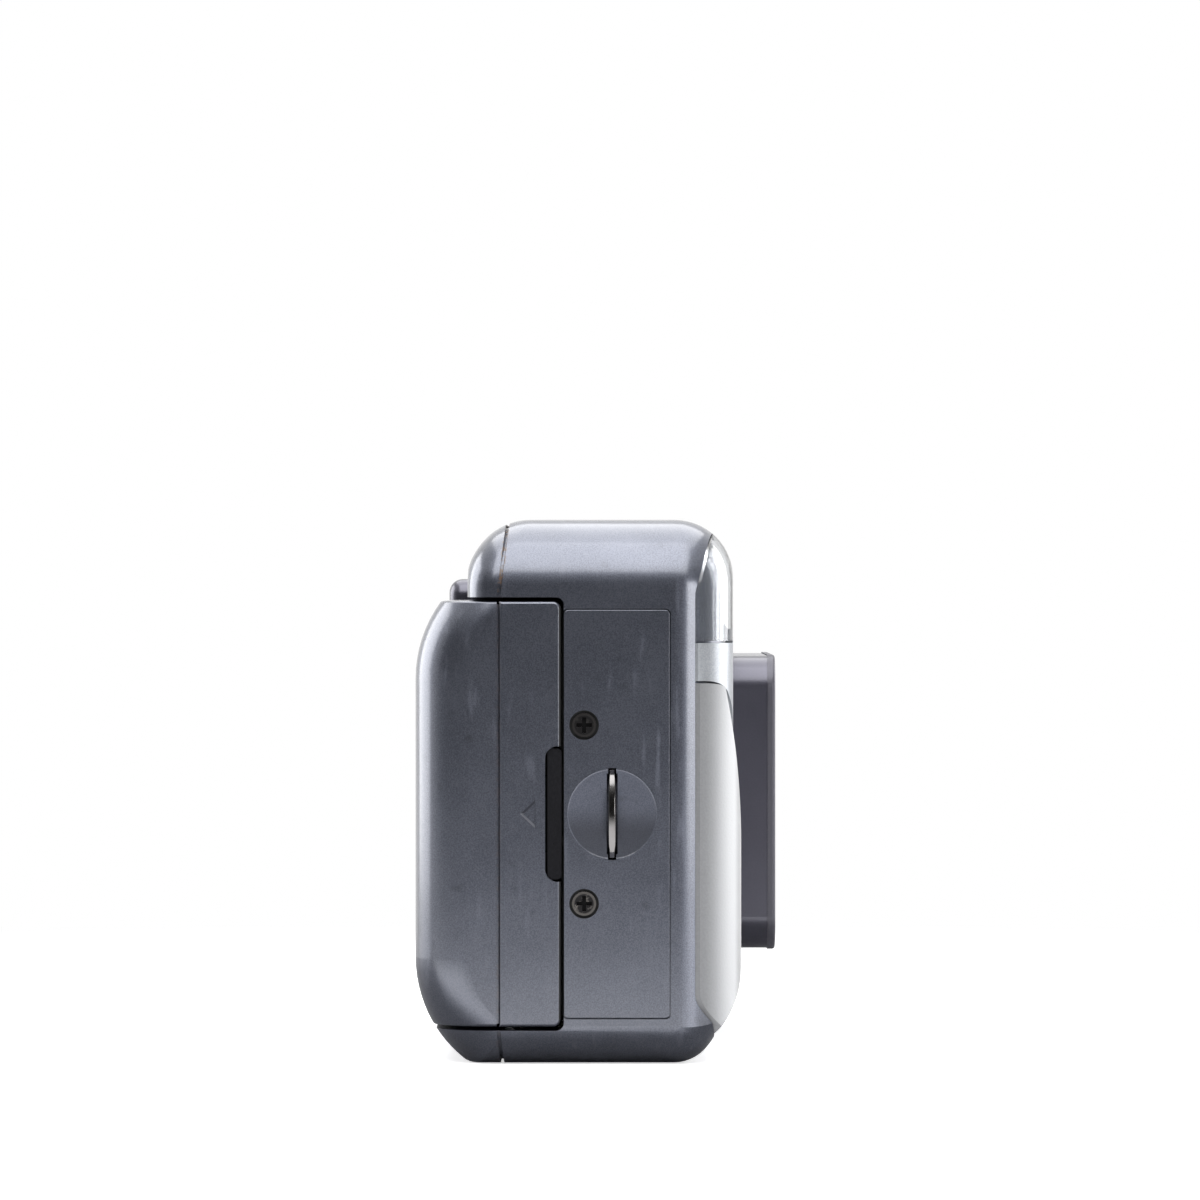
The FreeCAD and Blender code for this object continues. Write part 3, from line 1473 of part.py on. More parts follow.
def main():
    os.makedirs("parts", exist_ok=True)
    FreeCAD.newDocument("camera")
    top_outer, top_inner, door_outer, door_inner = outer_halves()
    layer = face_layer()
    front = -inner_barrel_front
    frame_back = door_reach - wall - door_frame_thick
    pieces = {
        "front_cover": front_cover(top_outer, top_inner),
        "rear_cover": rear_cover(top_outer, top_inner, door_outer, door_inner),
        "face_panel": face_panel(layer),
        "grip_panel": grip_panel(),
        "flash_window": flash_window(layer),
        "flash_reflector": flash_reflector(),
        "flash_tube": flash_tube(),
        "side_panel": side_panel(),
        "strap_bar": strap_bar(),
        "side_screws": side_screws(),
        "base_screws": base_screws(),
        "chassis": chassis(),
        "light_seals": light_seals(),
        "lens_cradle": lens_cradle(),
        "lens_surround": lens_surround(),
        "lens_bezel": lens_bezel(),
        "outer_barrel": outer_barrel(),
        "inner_barrel": inner_barrel(),
        "front_lens": glass(front_lens_radius, front_lens_bulge, front + front_lens_at, front_lens_thick),
        "rear_lens": glass(rear_lens_radius, rear_lens_bulge, front + rear_lens_at, rear_lens_thick),
        "barrier_blade_upper": blade(barrier_blade_radius, barrier_pivot, front + barrier_at, 1),
        "barrier_blade_lower": blade(barrier_blade_radius, barrier_pivot, front + barrier_at, -1),
        "shutter_blade_upper": blade(shutter_blade_radius, shutter_pivot, front + shutter_at, 1),
        "shutter_blade_lower": blade(shutter_blade_radius, shutter_pivot, front + shutter_at, -1),
        "finder_body": finder_body(),
        "finder_window": finder_window(layer),
        "eyepiece_frame": eyepiece_frame(),
        "eyepiece_lens": eyepiece_lens(),
        "focus_windows": focus_windows(layer),
        "timer_lamp": timer_lamp(layer),
        "display_window": display_window(),
        "display_panel": display_panel(),
        "shutter_button": push_button(shutter_x, shutter_y, shutter_button_radius, shutter_dish),
        "power_button": push_button(power_x, power_y, power_radius),
        "flash_button": push_button(*mode_places()[0], mode_radius),
        "timer_button": push_button(*mode_places()[1], mode_radius),
        "zoom_rocker": zoom_rocker(),
        "rewind_button": rewind_button(),
        "battery_cover": battery_cover(),
        "battery": battery(),
        "battery_contacts": battery_contacts(),
        "tripod_bush": tripod_bush(),
        "takeup_spool": takeup_spool(),
        "idler_gear": idler_gear(),
        "motor_pinion": motor_pinion(),
        "wind_motor": wind_motor(),
        "sprocket": sprocket(),
        "rewind_fork": rewind_fork(),
        "main_board": main_board(),
        "flash_capacitor": flash_capacitor(),
        "hinge_pin": hinge_pin(),
        "door_shell": door_shell(door_outer, door_inner),
        "door_flange": door_flange(),
        "door_frame": door_frame(),
        "door_latch": door_latch(),
        "film_window": film_window(door_outer),
        "cartridge_spring": leaf_spring(cartridge_x, film_level - cartridge_spring_drop,
                                        cartridge_spring_length, cartridge_spring_width, frame_back,
                                        frame_back - cartridge_y - cartridge_radius - cartridge_spring_gap),
        "pressure_spring": leaf_spring(lens_x + (plate_right - plate_left) / 2, film_level, spring_length,
                                       spring_width, frame_back, frame_back - plate_back() - spring_gap),
        "pressure_plate": pressure_plate(),
    }
    for name, shape in pieces.items():
        save(name, shape)
        print(name, len(shape.Solids), round(shape.Volume, 1), shape.isValid())


main()
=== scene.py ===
# %% [markdown]
# A compact film camera, dressed for its photograph. Every shell, gear, button and blade comes
# ready-made from a packed construction model, in metres, standing on the floor with its lens
# towards -Y. This lesson adds what a construction model lacks: paint, coatings, glass, small
# printed and moulded details, a studio round it, and a camera at the photographer's place.
# Building those parts again in Blender would give two models that drift apart, so the ready
# ones are loaded and only get their finish.

# %% Load the construction model
import math

import bpy
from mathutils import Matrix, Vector


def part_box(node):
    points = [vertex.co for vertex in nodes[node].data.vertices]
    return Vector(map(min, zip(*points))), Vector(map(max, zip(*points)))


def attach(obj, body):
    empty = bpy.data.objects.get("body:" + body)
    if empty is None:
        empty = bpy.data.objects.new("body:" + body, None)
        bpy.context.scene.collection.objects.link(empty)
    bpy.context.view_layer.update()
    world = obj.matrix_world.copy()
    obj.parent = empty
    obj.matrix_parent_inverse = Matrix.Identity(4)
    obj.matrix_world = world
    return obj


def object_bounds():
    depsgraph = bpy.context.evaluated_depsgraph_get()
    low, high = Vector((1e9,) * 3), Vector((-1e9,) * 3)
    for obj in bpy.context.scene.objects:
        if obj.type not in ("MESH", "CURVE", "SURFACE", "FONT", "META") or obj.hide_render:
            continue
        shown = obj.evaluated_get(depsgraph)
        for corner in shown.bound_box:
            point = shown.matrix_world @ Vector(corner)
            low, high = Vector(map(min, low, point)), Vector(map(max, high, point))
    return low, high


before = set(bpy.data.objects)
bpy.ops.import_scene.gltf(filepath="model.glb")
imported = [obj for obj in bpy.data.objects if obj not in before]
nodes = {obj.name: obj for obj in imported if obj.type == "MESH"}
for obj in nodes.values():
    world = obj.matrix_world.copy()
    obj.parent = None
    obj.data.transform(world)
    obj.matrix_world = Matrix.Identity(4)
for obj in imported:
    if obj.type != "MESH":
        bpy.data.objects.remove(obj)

MM = 0.001
cad_low, cad_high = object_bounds()
bpy.ops.object.select_all(action="DESELECT")
print("camera parts:", len(nodes), "height in mm:", round((cad_high.z - cad_low.z) / MM, 1))


# %% [markdown]
# The photograph looks straight at the end that lies under the photographer's right hand, from
# nearly a metre away with a long lens, so that opposite edges stay almost parallel. Such a
# camera could be moved by hand until it fits. It is surer to work it out: how much of the world
# the picture spans at the near end of the body gives the focal length, and the point of that end
# in the middle of the picture gives the place. It looks down by a fifth of a degree.

# %% The photographer's place
PHOTO_SPAN = 153.85 * MM
VIEW_DISTANCE = 900 * MM
VIEW_PITCH = math.radians(0.2)
PICTURE_MIDDLE = Vector((cad_low.x, -0.64 * MM, 59.65 * MM))
SENSOR_WIDTH = 36.0
NEAR_CLIP = 10 * MM
FAR_CLIP = 20.0

lens = bpy.data.cameras.new("photo_camera")
lens.sensor_width = SENSOR_WIDTH
lens.lens = SENSOR_WIDTH * VIEW_DISTANCE / PHOTO_SPAN
lens.clip_start = NEAR_CLIP
lens.clip_end = FAR_CLIP
photographer = bpy.data.objects.new("photo_camera", lens)
bpy.context.scene.collection.objects.link(photographer)
away = Vector((-math.cos(VIEW_PITCH), 0, math.sin(VIEW_PITCH)))
photographer.location = PICTURE_MIDDLE + away * VIEW_DISTANCE
photographer.rotation_euler = (math.radians(90) - VIEW_PITCH, 0, math.radians(-90))
bpy.context.scene.camera = photographer
print("focal length in mm:", round(lens.lens, 1))


# %% [markdown]
# Every finish here is procedural: noise and simple maths in a tree of shader nodes. Such trees
# can be drawn by hand, but shader maths reads best as maths. A Value wraps one socket and answers
# to the usual operators by adding Math nodes, so that 1 - mask is a node without being written as
# one. Colours are given as on a paint chart.

# %% Values that write shader maths
class Value:
    """A number or a colour that varies over a surface."""

    def __init__(self, finish, socket):
        self.finish = finish
        self.socket = socket

    def __add__(self, other):
        return self.finish.maths("ADD", self, other)

    def __sub__(self, other):
        return self.finish.maths("SUBTRACT", self, other)

    def __rsub__(self, other):
        return self.finish.maths("SUBTRACT", other, self)

    def __mul__(self, other):
        return self.finish.maths("MULTIPLY", self, other)

    def __truediv__(self, other):
        return self.finish.maths("DIVIDE", self, other)

    def __abs__(self):
        return self.finish.maths("ABSOLUTE", self)

    __radd__ = __add__
    __rmul__ = __mul__


def ink(red, green, blue):
    """A colour as a paint chart gives it, 0 to 255, turned into light."""
    shares = [part / 255 for part in (red, green, blue)]
    light = [s / 12.92 if s <= 0.04045 else ((s + 0.055) / 1.055) ** 2.4 for s in shares]
    return (*light, 1.0)


def scaled(colour, share, more=0.0):
    """A colour with each of its parts scaled, none past full."""
    return tuple(min(1.0, part * share + more) for part in colour[:3]) + (1.0,)


BLACK = (0.0, 0.0, 0.0, 1.0)
WHITE = (1.0, 1.0, 1.0, 1.0)
print("middle grey as light:", round(ink(128, 128, 128)[0], 3))


# %% [markdown]
# A Recipe makes every node through one method, which takes the node's type, its settings and the
# values or links of its sockets. Adding each node by hand takes three or four lines, and a tree of
# thirty nodes is then hard to read. The room round the camera uses a Recipe as it is.

# %% Recipes
class Recipe:
    """A tree of shader nodes, written as sums."""

    def __init__(self, tree, where):
        self.tree = tree
        self.place = self.node("TexCoord", output=where)

    def feed(self, socket, given):
        if isinstance(given, Value):
            self.tree.links.new(given.socket, socket)
        else:
            socket.default_value = given

    def node(self, kind, settings=None, inputs=None, output=0):
        made = self.tree.nodes.new("ShaderNode" + kind)
        for name, setting in (settings or {}).items():
            setattr(made, name, setting)
        for name, given in (inputs or {}).items():
            self.feed(made.inputs[name], given)
        return Value(self, made.outputs[output])

    def maths(self, operation, *values):
        return self.node("Math", {"operation": operation}, dict(enumerate(values)))

    def most(self, first, second):
        """The larger of two values."""
        return self.maths("MAXIMUM", first, second)

    def axis(self, letter):
        return self.node("SeparateXYZ", inputs={0: self.place}, output=letter)

    def step(self, value, start, end):
        """0 before start, 1 after end and smooth between."""
        inputs = {"Value": value, "From Min": start, "From Max": end}
        return self.node("MapRange", {"interpolation_type": "SMOOTHSTEP"}, inputs)

    def seen_directly(self):
        """1 for what the camera sees straight or through glass."""
        camera = self.node("LightPath", output="Is Camera Ray")
        glass = self.node("LightPath", output="Is Transmission Ray")
        return self.most(camera, glass)

    def seen_in_gloss(self):
        """1 for what a shiny surface mirrors."""
        return self.node("LightPath", output="Is Glossy Ray")


print("a recipe can:", [name for name in vars(Recipe) if not name.startswith("_")])


# %% [markdown]
# A Finish is a Recipe for one material. It adds the few textures needed: soft noise, blotches cut
# out of noise, specks scattered in cells, and a bump. A picture wrapped round the part would need
# its surface unfolded first. These read the object's own coordinates instead, so that a pattern
# fits any part and rides along when it moves.

# %% Finishes
class Finish(Recipe):
    """One procedural material."""

    def __init__(self, name, **sockets):
        self.material = bpy.data.materials.new(name)
        self.material.use_nodes = True
        super().__init__(self.material.node_tree, "Object")
        self.shader = self.tree.nodes["Principled BSDF"]
        for socket, given in sockets.items():
            self.set(socket.replace("_", " "), given)

    def set(self, socket, given):
        self.feed(self.shader.inputs[socket], given)

    def stretched(self, x, y, z):
        """The place on the object with each axis scaled."""
        return self.node("Mapping", inputs={"Vector": self.place, "Scale": (x, y, z)})

    def noise(self, size, detail=2.0, place=None):
        """Soft noise between 0 and 1 whose blotches are size metres wide."""
        inputs = {"Vector": place or self.place, "Scale": 1 / size, "Detail": detail}
        return self.node("TexNoise", inputs=inputs)

    def blotches(self, size, start, end, detail=3.0, place=None):
        """0 where noise stays below start, 1 where it passes end."""
        return self.step(self.noise(size, detail, place), start, end)

    def mix(self, first, second, amount):
        sockets = {0: amount, 6: first, 7: second}
        return self.node("Mix", {"data_type": "RGBA"}, sockets, output=2)

    def specks(self, size, spread, share):
        """1 on specks of a size, spread metres apart, in that share of the cells."""
        cells = {"Vector": self.place, "Scale": 1 / spread}
        distance = self.node("TexVoronoi", inputs=cells)
        lottery = self.node("TexVoronoi", inputs=cells, output="Color")
        ticket = self.node("SeparateColor", inputs={0: lottery}, output=0)
        near = 1 - self.step(distance, 0.35 * size / spread, 0.65 * size / spread)
        return near * self.step(ticket, 1 - share, 1.01 - share)

    def bump(self, height, depth):
        """Raises the surface by depth metres where height is 1."""
        self.set("Normal", self.node("Bump", inputs={"Height": height, "Distance": depth}))


print("a finish can also:", [name for name in vars(Finish) if not name.startswith("_")])


# %% [markdown]
# Years of use show on the paint of the real camera. There are faint upright scuffs on the flat
# end, in patches, and brown dirt is caught along the parting seam, most of it in the top stretch,
# where the seam leans towards the front. Such marks could be painted by hand on a picture. Noise
# that is cut off between two heights gives blotches of the same kind at any size, so each mark
# is a function that returns a mask.

# %% Scuffs and dirt
SCUFF_SIZE = 1.1 * MM
SCUFF_SQUASH = 0.16
SCUFF_PATCH = 13 * MM
DIRT_SPECK = 0.7 * MM
DIRT_REACH = 0.4 * MM
SEAM_Y = 12.4 * MM
SEAM_TOP = 60 * MM
SEAM_LEAN = 0.12


def scuffs_on(finish):
    """1 on upright scuff marks, which come in patches."""
    upright = finish.stretched(1.0, 1.0, SCUFF_SQUASH)
    wear_and_highlight = finish.blotches(SCUFF_SIZE, 0.56, 0.74, place=upright)
    return wear_and_highlight * finish.blotches(SCUFF_PATCH, 0.45, 0.62, detail=1.0)


def dirt_on(finish):
    """1 on specks of dirt along the parting seam."""
    above = finish.most(finish.axis("Z") - SEAM_TOP, 0.0)
    from_seam = abs(finish.axis("Y") - SEAM_Y + above * SEAM_LEAN)
    seam = 1 - finish.step(from_seam, DIRT_REACH / 2, DIRT_REACH)
    specks = finish.blotches(DIRT_SPECK, 0.46, 0.62)
    return seam * specks * (0.15 + 0.85 * finish.step(above, 0.0, MM))


print("dirt reaches", DIRT_REACH / MM, "mm to either side of the seam")


# %% [markdown]
# The shells are moulded plastic with a sprayed satin metallic paint: dark blue-grey flakes under
# a clear lacquer. A plain grey gloss would look like bare plastic. The paint is mostly metal to
# the light, which is why it is dark face on and nearly white where it turns away. The flakes are
# a fine grain in colour and height, under slow clouds, smudges and a few specks of dust.

# %% The sprayed paint
SHELL_INK = ink(72, 75, 85)
SHELL_PALE = ink(112, 115, 126)
PAINT_METAL = 0.8
PAINT_ROUGHNESS = 0.28
COAT = 0.9
COAT_ROUGHNESS = 0.16
FLAKE_SIZE = 0.15 * MM
FLAKE_HEIGHT = 0.007
CLOUD_SIZE = 9 * MM
SMUDGE_AND_SHADE_INK = ink(46, 47, 52)
SMUDGE_SIZE = 2.4 * MM
DIRT_INK = ink(104, 78, 54)
DUST_INK = ink(206, 204, 198)
DUST_SIZE = 0.16 * MM
DUST_SPREAD = 3.2 * MM
DUST_SHARE = 0.12


def dress(finish, *names):
    """Gives the named parts their finish."""
    for name in names:
        slots = nodes[name].data.materials
        slots.clear()
        slots.append(finish.material)
    print(finish.material.name, "on", ", ".join(names))


def sprayed(name, relief=None):
    """A metallic paint with flakes, scuffs, dust and dirt in the seam. relief adds a height in mm."""
    finish = Finish(name, Coat_Weight=COAT, Coat_Roughness=COAT_ROUGHNESS)
    flakes = finish.noise(FLAKE_SIZE, 1.0)
    clouds = finish.noise(CLOUD_SIZE, 3.0)
    shade = finish.step(flakes * 0.7 + clouds * 0.3, 0.3, 0.7)
    colour = finish.mix(SHELL_INK, SHELL_PALE, shade * 0.42)
    colour = finish.mix(colour, SMUDGE_AND_SHADE_INK, finish.blotches(SMUDGE_SIZE, 0.6, 0.8) * 0.3)
    scuffs = scuffs_on(finish)
    colour = finish.mix(colour, SHELL_PALE, scuffs * 0.22)
    dirt = dirt_on(finish)
    colour = finish.mix(colour, DIRT_INK, dirt * 0.8)
    dust = finish.specks(DUST_SIZE, DUST_SPREAD, DUST_SHARE)
    finish.colour = finish.mix(colour, DUST_INK, dust)
    finish.set("Base Color", finish.colour)
    finish.gloss = PAINT_ROUGHNESS + scuffs * 0.1 + dirt * 0.3 + dust * 0.3 + flakes * 0.06
    finish.set("Roughness", finish.gloss)
    finish.metal = PAINT_METAL - dirt * 0.6 - dust * 0.6
    finish.set("Metallic", finish.metal)
    height = flakes * FLAKE_HEIGHT
    finish.bump(height + relief(finish) if relief else height, MM)
    return finish


dress(sprayed("shell_paint"), "rear_cover", "door_shell", "battery_cover")


# %% [markdown]
# Some edges and holes of the painted parts are painted matte black as painted shade, where they lie
# beside a gap or round a screw head. They could be parts of their own, or a second material on
# chosen faces. A mask in the same material is simpler and can have a soft edge.

# %% Black painted shade on the paint
SHADE_INK = ink(15, 15, 17)
SHADE_ROUGHER = 0.4


def blackened(finish, mask):
    """Matte black, as painted shade, where mask is 1."""
    finish.set("Base Color", finish.mix(finish.colour, SHADE_INK, mask))
    finish.set("Metallic", finish.metal * (1 - mask))
    finish.set("Roughness", finish.gloss + mask * SHADE_ROUGHER)
    finish.set("Coat Weight", COAT - mask * COAT)


print("paint roughness:", PAINT_ROUGHNESS, "bare roughness:", PAINT_ROUGHNESS + SHADE_ROUGHER)


# %% [markdown]
# The door's end flange has an opening arrow, a shallow hollow cut into the construction model.
# Square on, the walls of such a hollow hardly show. On the real camera light catches the lower
# edge and the upper one lies in shade, so the material draws a pale and a dark leg just inside
# them. A leg is where two shares of the way, one along the arrow and one across it, are equal.
# The flange's edge beside the latch is painted black along the gap, as painted shade.

# %% The flange and its arrow
ARROW_TIP = Vector((0, 9.4, 32.2)) * MM
ARROW_LENGTH = 1.65 * MM
ARROW_HALF = 1.55 * MM
ARROW_STROKE = 0.16
ARROW_STRENGTH = 0.7
LOWER_LEG_INK = ink(136, 138, 146)
UPPER_LEG_INK = ink(52, 53, 60)
LEG_CHANGE = 0.2 * MM
SHADED_EDGE = 0.35 * MM

flange_paint = sprayed("flange_paint")
above_tip = flange_paint.axis("Z") - ARROW_TIP.z
along = (ARROW_TIP.y - flange_paint.axis("Y")) / ARROW_LENGTH
across = abs(above_tip) / ARROW_HALF
leg = 1 - flange_paint.step(abs(along - across), ARROW_STROKE / 2, ARROW_STROKE)
leg = leg * (1 - flange_paint.step(along, 1.0, 1.05))
leg_ink = flange_paint.mix(LOWER_LEG_INK, UPPER_LEG_INK, flange_paint.step(above_tip, 0.0, LEG_CHANGE))
flange_paint.colour = flange_paint.mix(flange_paint.colour, leg_ink, leg * ARROW_STRENGTH)
# Painted shade: the flange's edge beside the latch gap is drawn matte black.
latch_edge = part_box("door_flange")[0].y
from_edge = flange_paint.axis("Y") - latch_edge
blackened(flange_paint, 1 - flange_paint.step(from_edge, SHADED_EDGE / 2, SHADED_EDGE))
dress(flange_paint, "door_flange")


# %% [markdown]
# The side panel is held by two screws, whose heads lie a little below its face in round holes,
# painted black round each head as painted shade. A hole's mask needs the distance from the axis
# of the nearer screw. The screws' own box gives both axes, so that nothing is measured twice.

# %% Where the side screws are
screws_low, screws_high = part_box("side_screws")
screw_y = (screws_low.y + screws_high.y) / 2
screw_radius = (screws_high.y - screws_low.y) / 2
screw_heights = (screws_low.z + screw_radius, screws_high.z - screw_radius)


def from_screws(finish):
    """How far a point lies from the axis of the nearer side screw."""
    y = finish.axis("Y") - screw_y
    z = finish.axis("Z")
    low, high = [finish.maths("SQRT", y * y + (z - height) * (z - height)) for height in screw_heights]
    return finish.maths("MINIMUM", low, high)


print("screw heights in mm:", [round(height / MM, 1) for height in screw_heights])


# %% [markdown]
# The panel is flat but for the strap dish, whose bottom belongs to the front cover behind it, so
# that both wear one finish. The paint lies thicker and duller in the dish, which makes it look
# shallower than it is. A shallower cut would leave less room behind the strap bar, so a soft bump
# from the rim to the middle says it instead. The dish is painted a little darker as painted shade,
# and its lower half darker still.

# %% The side panel and the front cover
DISH_MIDDLE = Vector((0, -2.2, 32.2)) * MM
DISH_RADIUS = 5.75 * MM
DISH_FILL = 1.0
DISH_RIM = 0.06
DISH_DULLER = 0.32
SHADE_START = -1.5 * MM
SHADE_END = 2.5 * MM
END_DEPTH = 8 * MM
HOLE_RADIUS = 1.93 * MM
HOLE_RIM = 0.05 * MM


def near_end(finish):
    """1 near the end that the photograph shows."""
    return 1 - finish.step(finish.axis("X") - cad_low.x, END_DEPTH, END_DEPTH + MM)


def in_dish(finish):
    """0 from the rim of the dish outwards, rising to 1 in its middle."""
    y = (finish.axis("Y") - DISH_MIDDLE.y) / DISH_RADIUS
    z = (finish.axis("Z") - DISH_MIDDLE.z) / DISH_RADIUS
    return finish.most(1 - y * y - z * z, 0.0) * near_end(finish)


def dish_fill(finish):
    """The height in mm that paint adds inside the dish."""
    return in_dish(finish) * DISH_FILL


def end_paint(name):
    """Sprayed paint with a dull, painted-shade dish and two screw holes painted black as shade."""
    finish = sprayed(name, dish_fill)
    # Painted shade: each screw hole is drawn black round the head.
    hole = (1 - finish.step(from_screws(finish), HOLE_RADIUS - HOLE_RIM, HOLE_RADIUS)) * near_end(finish)
    dish = finish.step(in_dish(finish), 0.0, DISH_RIM)
    lower_half = finish.step(DISH_MIDDLE.z - finish.axis("Z"), SHADE_START, SHADE_END)
    # Painted shade: the dish is drawn a little darker, and its lower half darker still.
    finish.colour = finish.mix(finish.colour, SMUDGE_AND_SHADE_INK, dish * (0.1 + 0.6 * lower_half))
    finish.gloss = finish.gloss + dish * DISH_DULLER
    blackened(finish, hole)
    finish.set("Coat Weight", COAT - COAT * finish.most(hole, dish))
    return finish


dress(end_paint("panel_paint"), "side_panel")
dress(end_paint("cover_paint"), "front_cover")


# %% [markdown]
# The front carries a bright silver skin over the shell. Polished metal would mirror the room.
# This is a fine silver paint, so its metal is rough, with a grain too small to see one by one.

# %% The silver face
FACE_INK = ink(134, 137, 142)
FACE_PALE = ink(170, 173, 177)
FACE_GRAIN = 0.2 * MM

face_paint = Finish("face_paint", Metallic=0.7)
face_grain = face_paint.noise(FACE_GRAIN, 1.0)
face_paint.set("Base Color", face_paint.mix(FACE_INK, FACE_PALE, face_grain))
face_paint.set("Roughness", 0.32 + face_grain * 0.08)
face_paint.bump(face_grain, 0.004 * MM)
dress(face_paint, "face_panel")


# %% [markdown]
# The skin under the fingers is a matte, slightly grained coating that does not slip. A sheen
# alone would look like cloth, and plain rough plastic too dead: a rough surface with a little
# metal under the sheen is near the real thing. Its rounded edge is painted paler, a painted
# highlight where the front light falls on it.

# %% The grip
GRIP_INK = ink(98, 99, 101)
GRIP_PALE = ink(126, 127, 129)
GRIP_HIGHLIGHT_INK = ink(190, 191, 193)
GRIP_GRAIN = 0.3 * MM
GRIP_CLOUD = 12 * MM
HIGHLIGHT_START = 13.5 * MM
HIGHLIGHT_FULL = 17.8 * MM
HIGHLIGHT_FADE = 17.9 * MM
HIGHLIGHT_END = 18.9 * MM

grip_coat = Finish("grip_coat", Metallic=0.3, Sheen_Weight=0.6, Sheen_Roughness=0.4)
grip_grain = grip_coat.noise(GRIP_GRAIN, 3.0)
grip_tone = grip_coat.noise(GRIP_CLOUD, 2.0)
grip_colour = grip_coat.mix(GRIP_INK, GRIP_PALE, grip_grain * 0.7 + grip_tone * 0.3)
forward = grip_coat.axis("Y") * -1.0
# Painted highlight: a paler band along the grip's rounded front edge.
wear_and_highlight = grip_coat.step(forward, HIGHLIGHT_START, HIGHLIGHT_FULL) * (1 - grip_coat.step(forward, HIGHLIGHT_FADE, HIGHLIGHT_END))
grip_coat.set("Base Color", grip_coat.mix(grip_colour, GRIP_HIGHLIGHT_INK, wear_and_highlight * 0.7))
grip_coat.set("Roughness", 0.38 + grip_grain * 0.2)
grip_coat.bump(grip_grain, 0.02 * MM)
dress(grip_coat, "grip_panel")


# %% [markdown]
# Most other parts are dyed plastic from a mould. The nodes of each could be written out, but they
# differ only in colour, gloss and grain, so one function makes them all. No moulding is quite
# even: its colour and its gloss both follow a fine grain and a slow change.

# %% Moulded plastic
TONE_SIZE = 7 * MM


def moulded(name, colour, roughness, grain=0.25 * MM, depth=0.008 * MM, metallic=0.0, spread=0.25,
            gleam=0.5, coat=0.0):
    """A dyed plastic with a moulded grain, a little uneven in tone and gloss."""
    finish = Finish(name, Metallic=metallic, Specular_IOR_Level=gleam, Coat_Weight=coat, Coat_Roughness=0.2)
    pits = finish.noise(grain, 2.0)
    tone = finish.noise(TONE_SIZE, 2.0)
    lighter = scaled(colour, 1 + spread, 0.004)
    finish.set("Base Color", finish.mix(colour, lighter, pits * 0.6 + tone * 0.4))
    finish.set("Roughness", roughness + pits * 0.08 + tone * 0.06)
    finish.bump(pits, depth)
    return finish


lens_block_paint = moulded("lens_block_paint", ink(66, 65, 75), 0.24, metallic=0.75, coat=0.6)
trim_black = moulded("trim_black", ink(8, 8, 10), 0.5, grain=0.35 * MM, depth=0.03 * MM,
                     spread=3.0, gleam=0.06)
button_grey = moulded("button_grey", ink(58, 60, 66), 0.4, metallic=0.3)
dress(lens_block_paint, "lens_surround", "eyepiece_frame")
dress(moulded("bezel_paint", ink(74, 73, 80), 0.3, metallic=0.5), "lens_bezel")
dress(moulded("barrel_plastic", ink(34, 35, 39), 0.36), "outer_barrel", "inner_barrel")
dress(trim_black, "door_latch", "rewind_fork")
dress(button_grey, "power_button", "flash_button", "timer_button", "zoom_rocker", "rewind_button")
dress(moulded("display_grey", ink(150, 158, 142), 0.42, depth=0.0, spread=0.05), "display_panel")


# %% [markdown]
# The inside is where light must not wander, so it is dull black, and the foam seals along the
# door are duller still. The rest has the colours that such parts usually have: a white gear, a
# green board, a blue sleeve on the flash capacitor.

# %% Inner parts
inner_black = moulded("inner_black", ink(22, 22, 24), 0.6, depth=0.015 * MM)
blade_black = moulded("blade_black", ink(20, 20, 22), 0.42, metallic=0.3)
seal_foam = moulded("seal_foam", ink(24, 23, 25), 0.95, grain=0.35 * MM, depth=0.12 * MM, spread=0.7)
board_green = moulded("board_green", ink(32, 92, 58), 0.35, grain=1.2 * MM, depth=0.02 * MM, spread=0.5)
dress(inner_black, "chassis", "door_frame", "lens_cradle", "finder_body")
dress(blade_black, "barrier_blade_upper", "barrier_blade_lower", "shutter_blade_upper", "shutter_blade_lower")
dress(seal_foam, "light_seals")
dress(board_green, "main_board")
dress(moulded("spool_black", ink(30, 30, 33), 0.4), "takeup_spool", "sprocket")
dress(moulded("gear_white", ink(226, 224, 214), 0.42, spread=0.06), "idler_gear")
dress(moulded("sleeve_blue", ink(38, 44, 78), 0.32, spread=0.2), "flash_capacitor")
dress(moulded("battery_sleeve", ink(64, 66, 72), 0.3, metallic=0.6), "battery")


# %% [markdown]
# The strap bar is chromed, springs and pins are drawn steel, and the tripod bush is nickel over
# brass. What makes metal look worked are the fine marks of the tool, drawn out along its way, so
# the noise is stretched along the axis of the work. Turned and polished parts get even noise.

# %% Metals
ALONG_X = (0.06, 1.0, 1.0)
ALONG_SPRING = (0.08, 1.0, 1.0)
ALONG_Z = (1.0, 1.0, 0.08)
EVEN = (1.0, 1.0, 1.0)
TOOL_MARK = 0.12 * MM
STAIN_SIZE = 4 * MM


def worked_metal(name, colour, roughness, way=ALONG_Z, marks=0.12):
    """Metal with fine marks left by drawing, rolling or turning."""
    finish = Finish(name, Metallic=1.0)
    lines = finish.noise(TOOL_MARK, 3.0, finish.stretched(*way))
    stains = finish.blotches(STAIN_SIZE, 0.45, 0.75)
    finish.set("Base Color", finish.mix(colour, scaled(colour, 0.72), stains))
    finish.set("Roughness", roughness + lines * marks)
    finish.bump(lines, 0.003 * MM)
    return finish


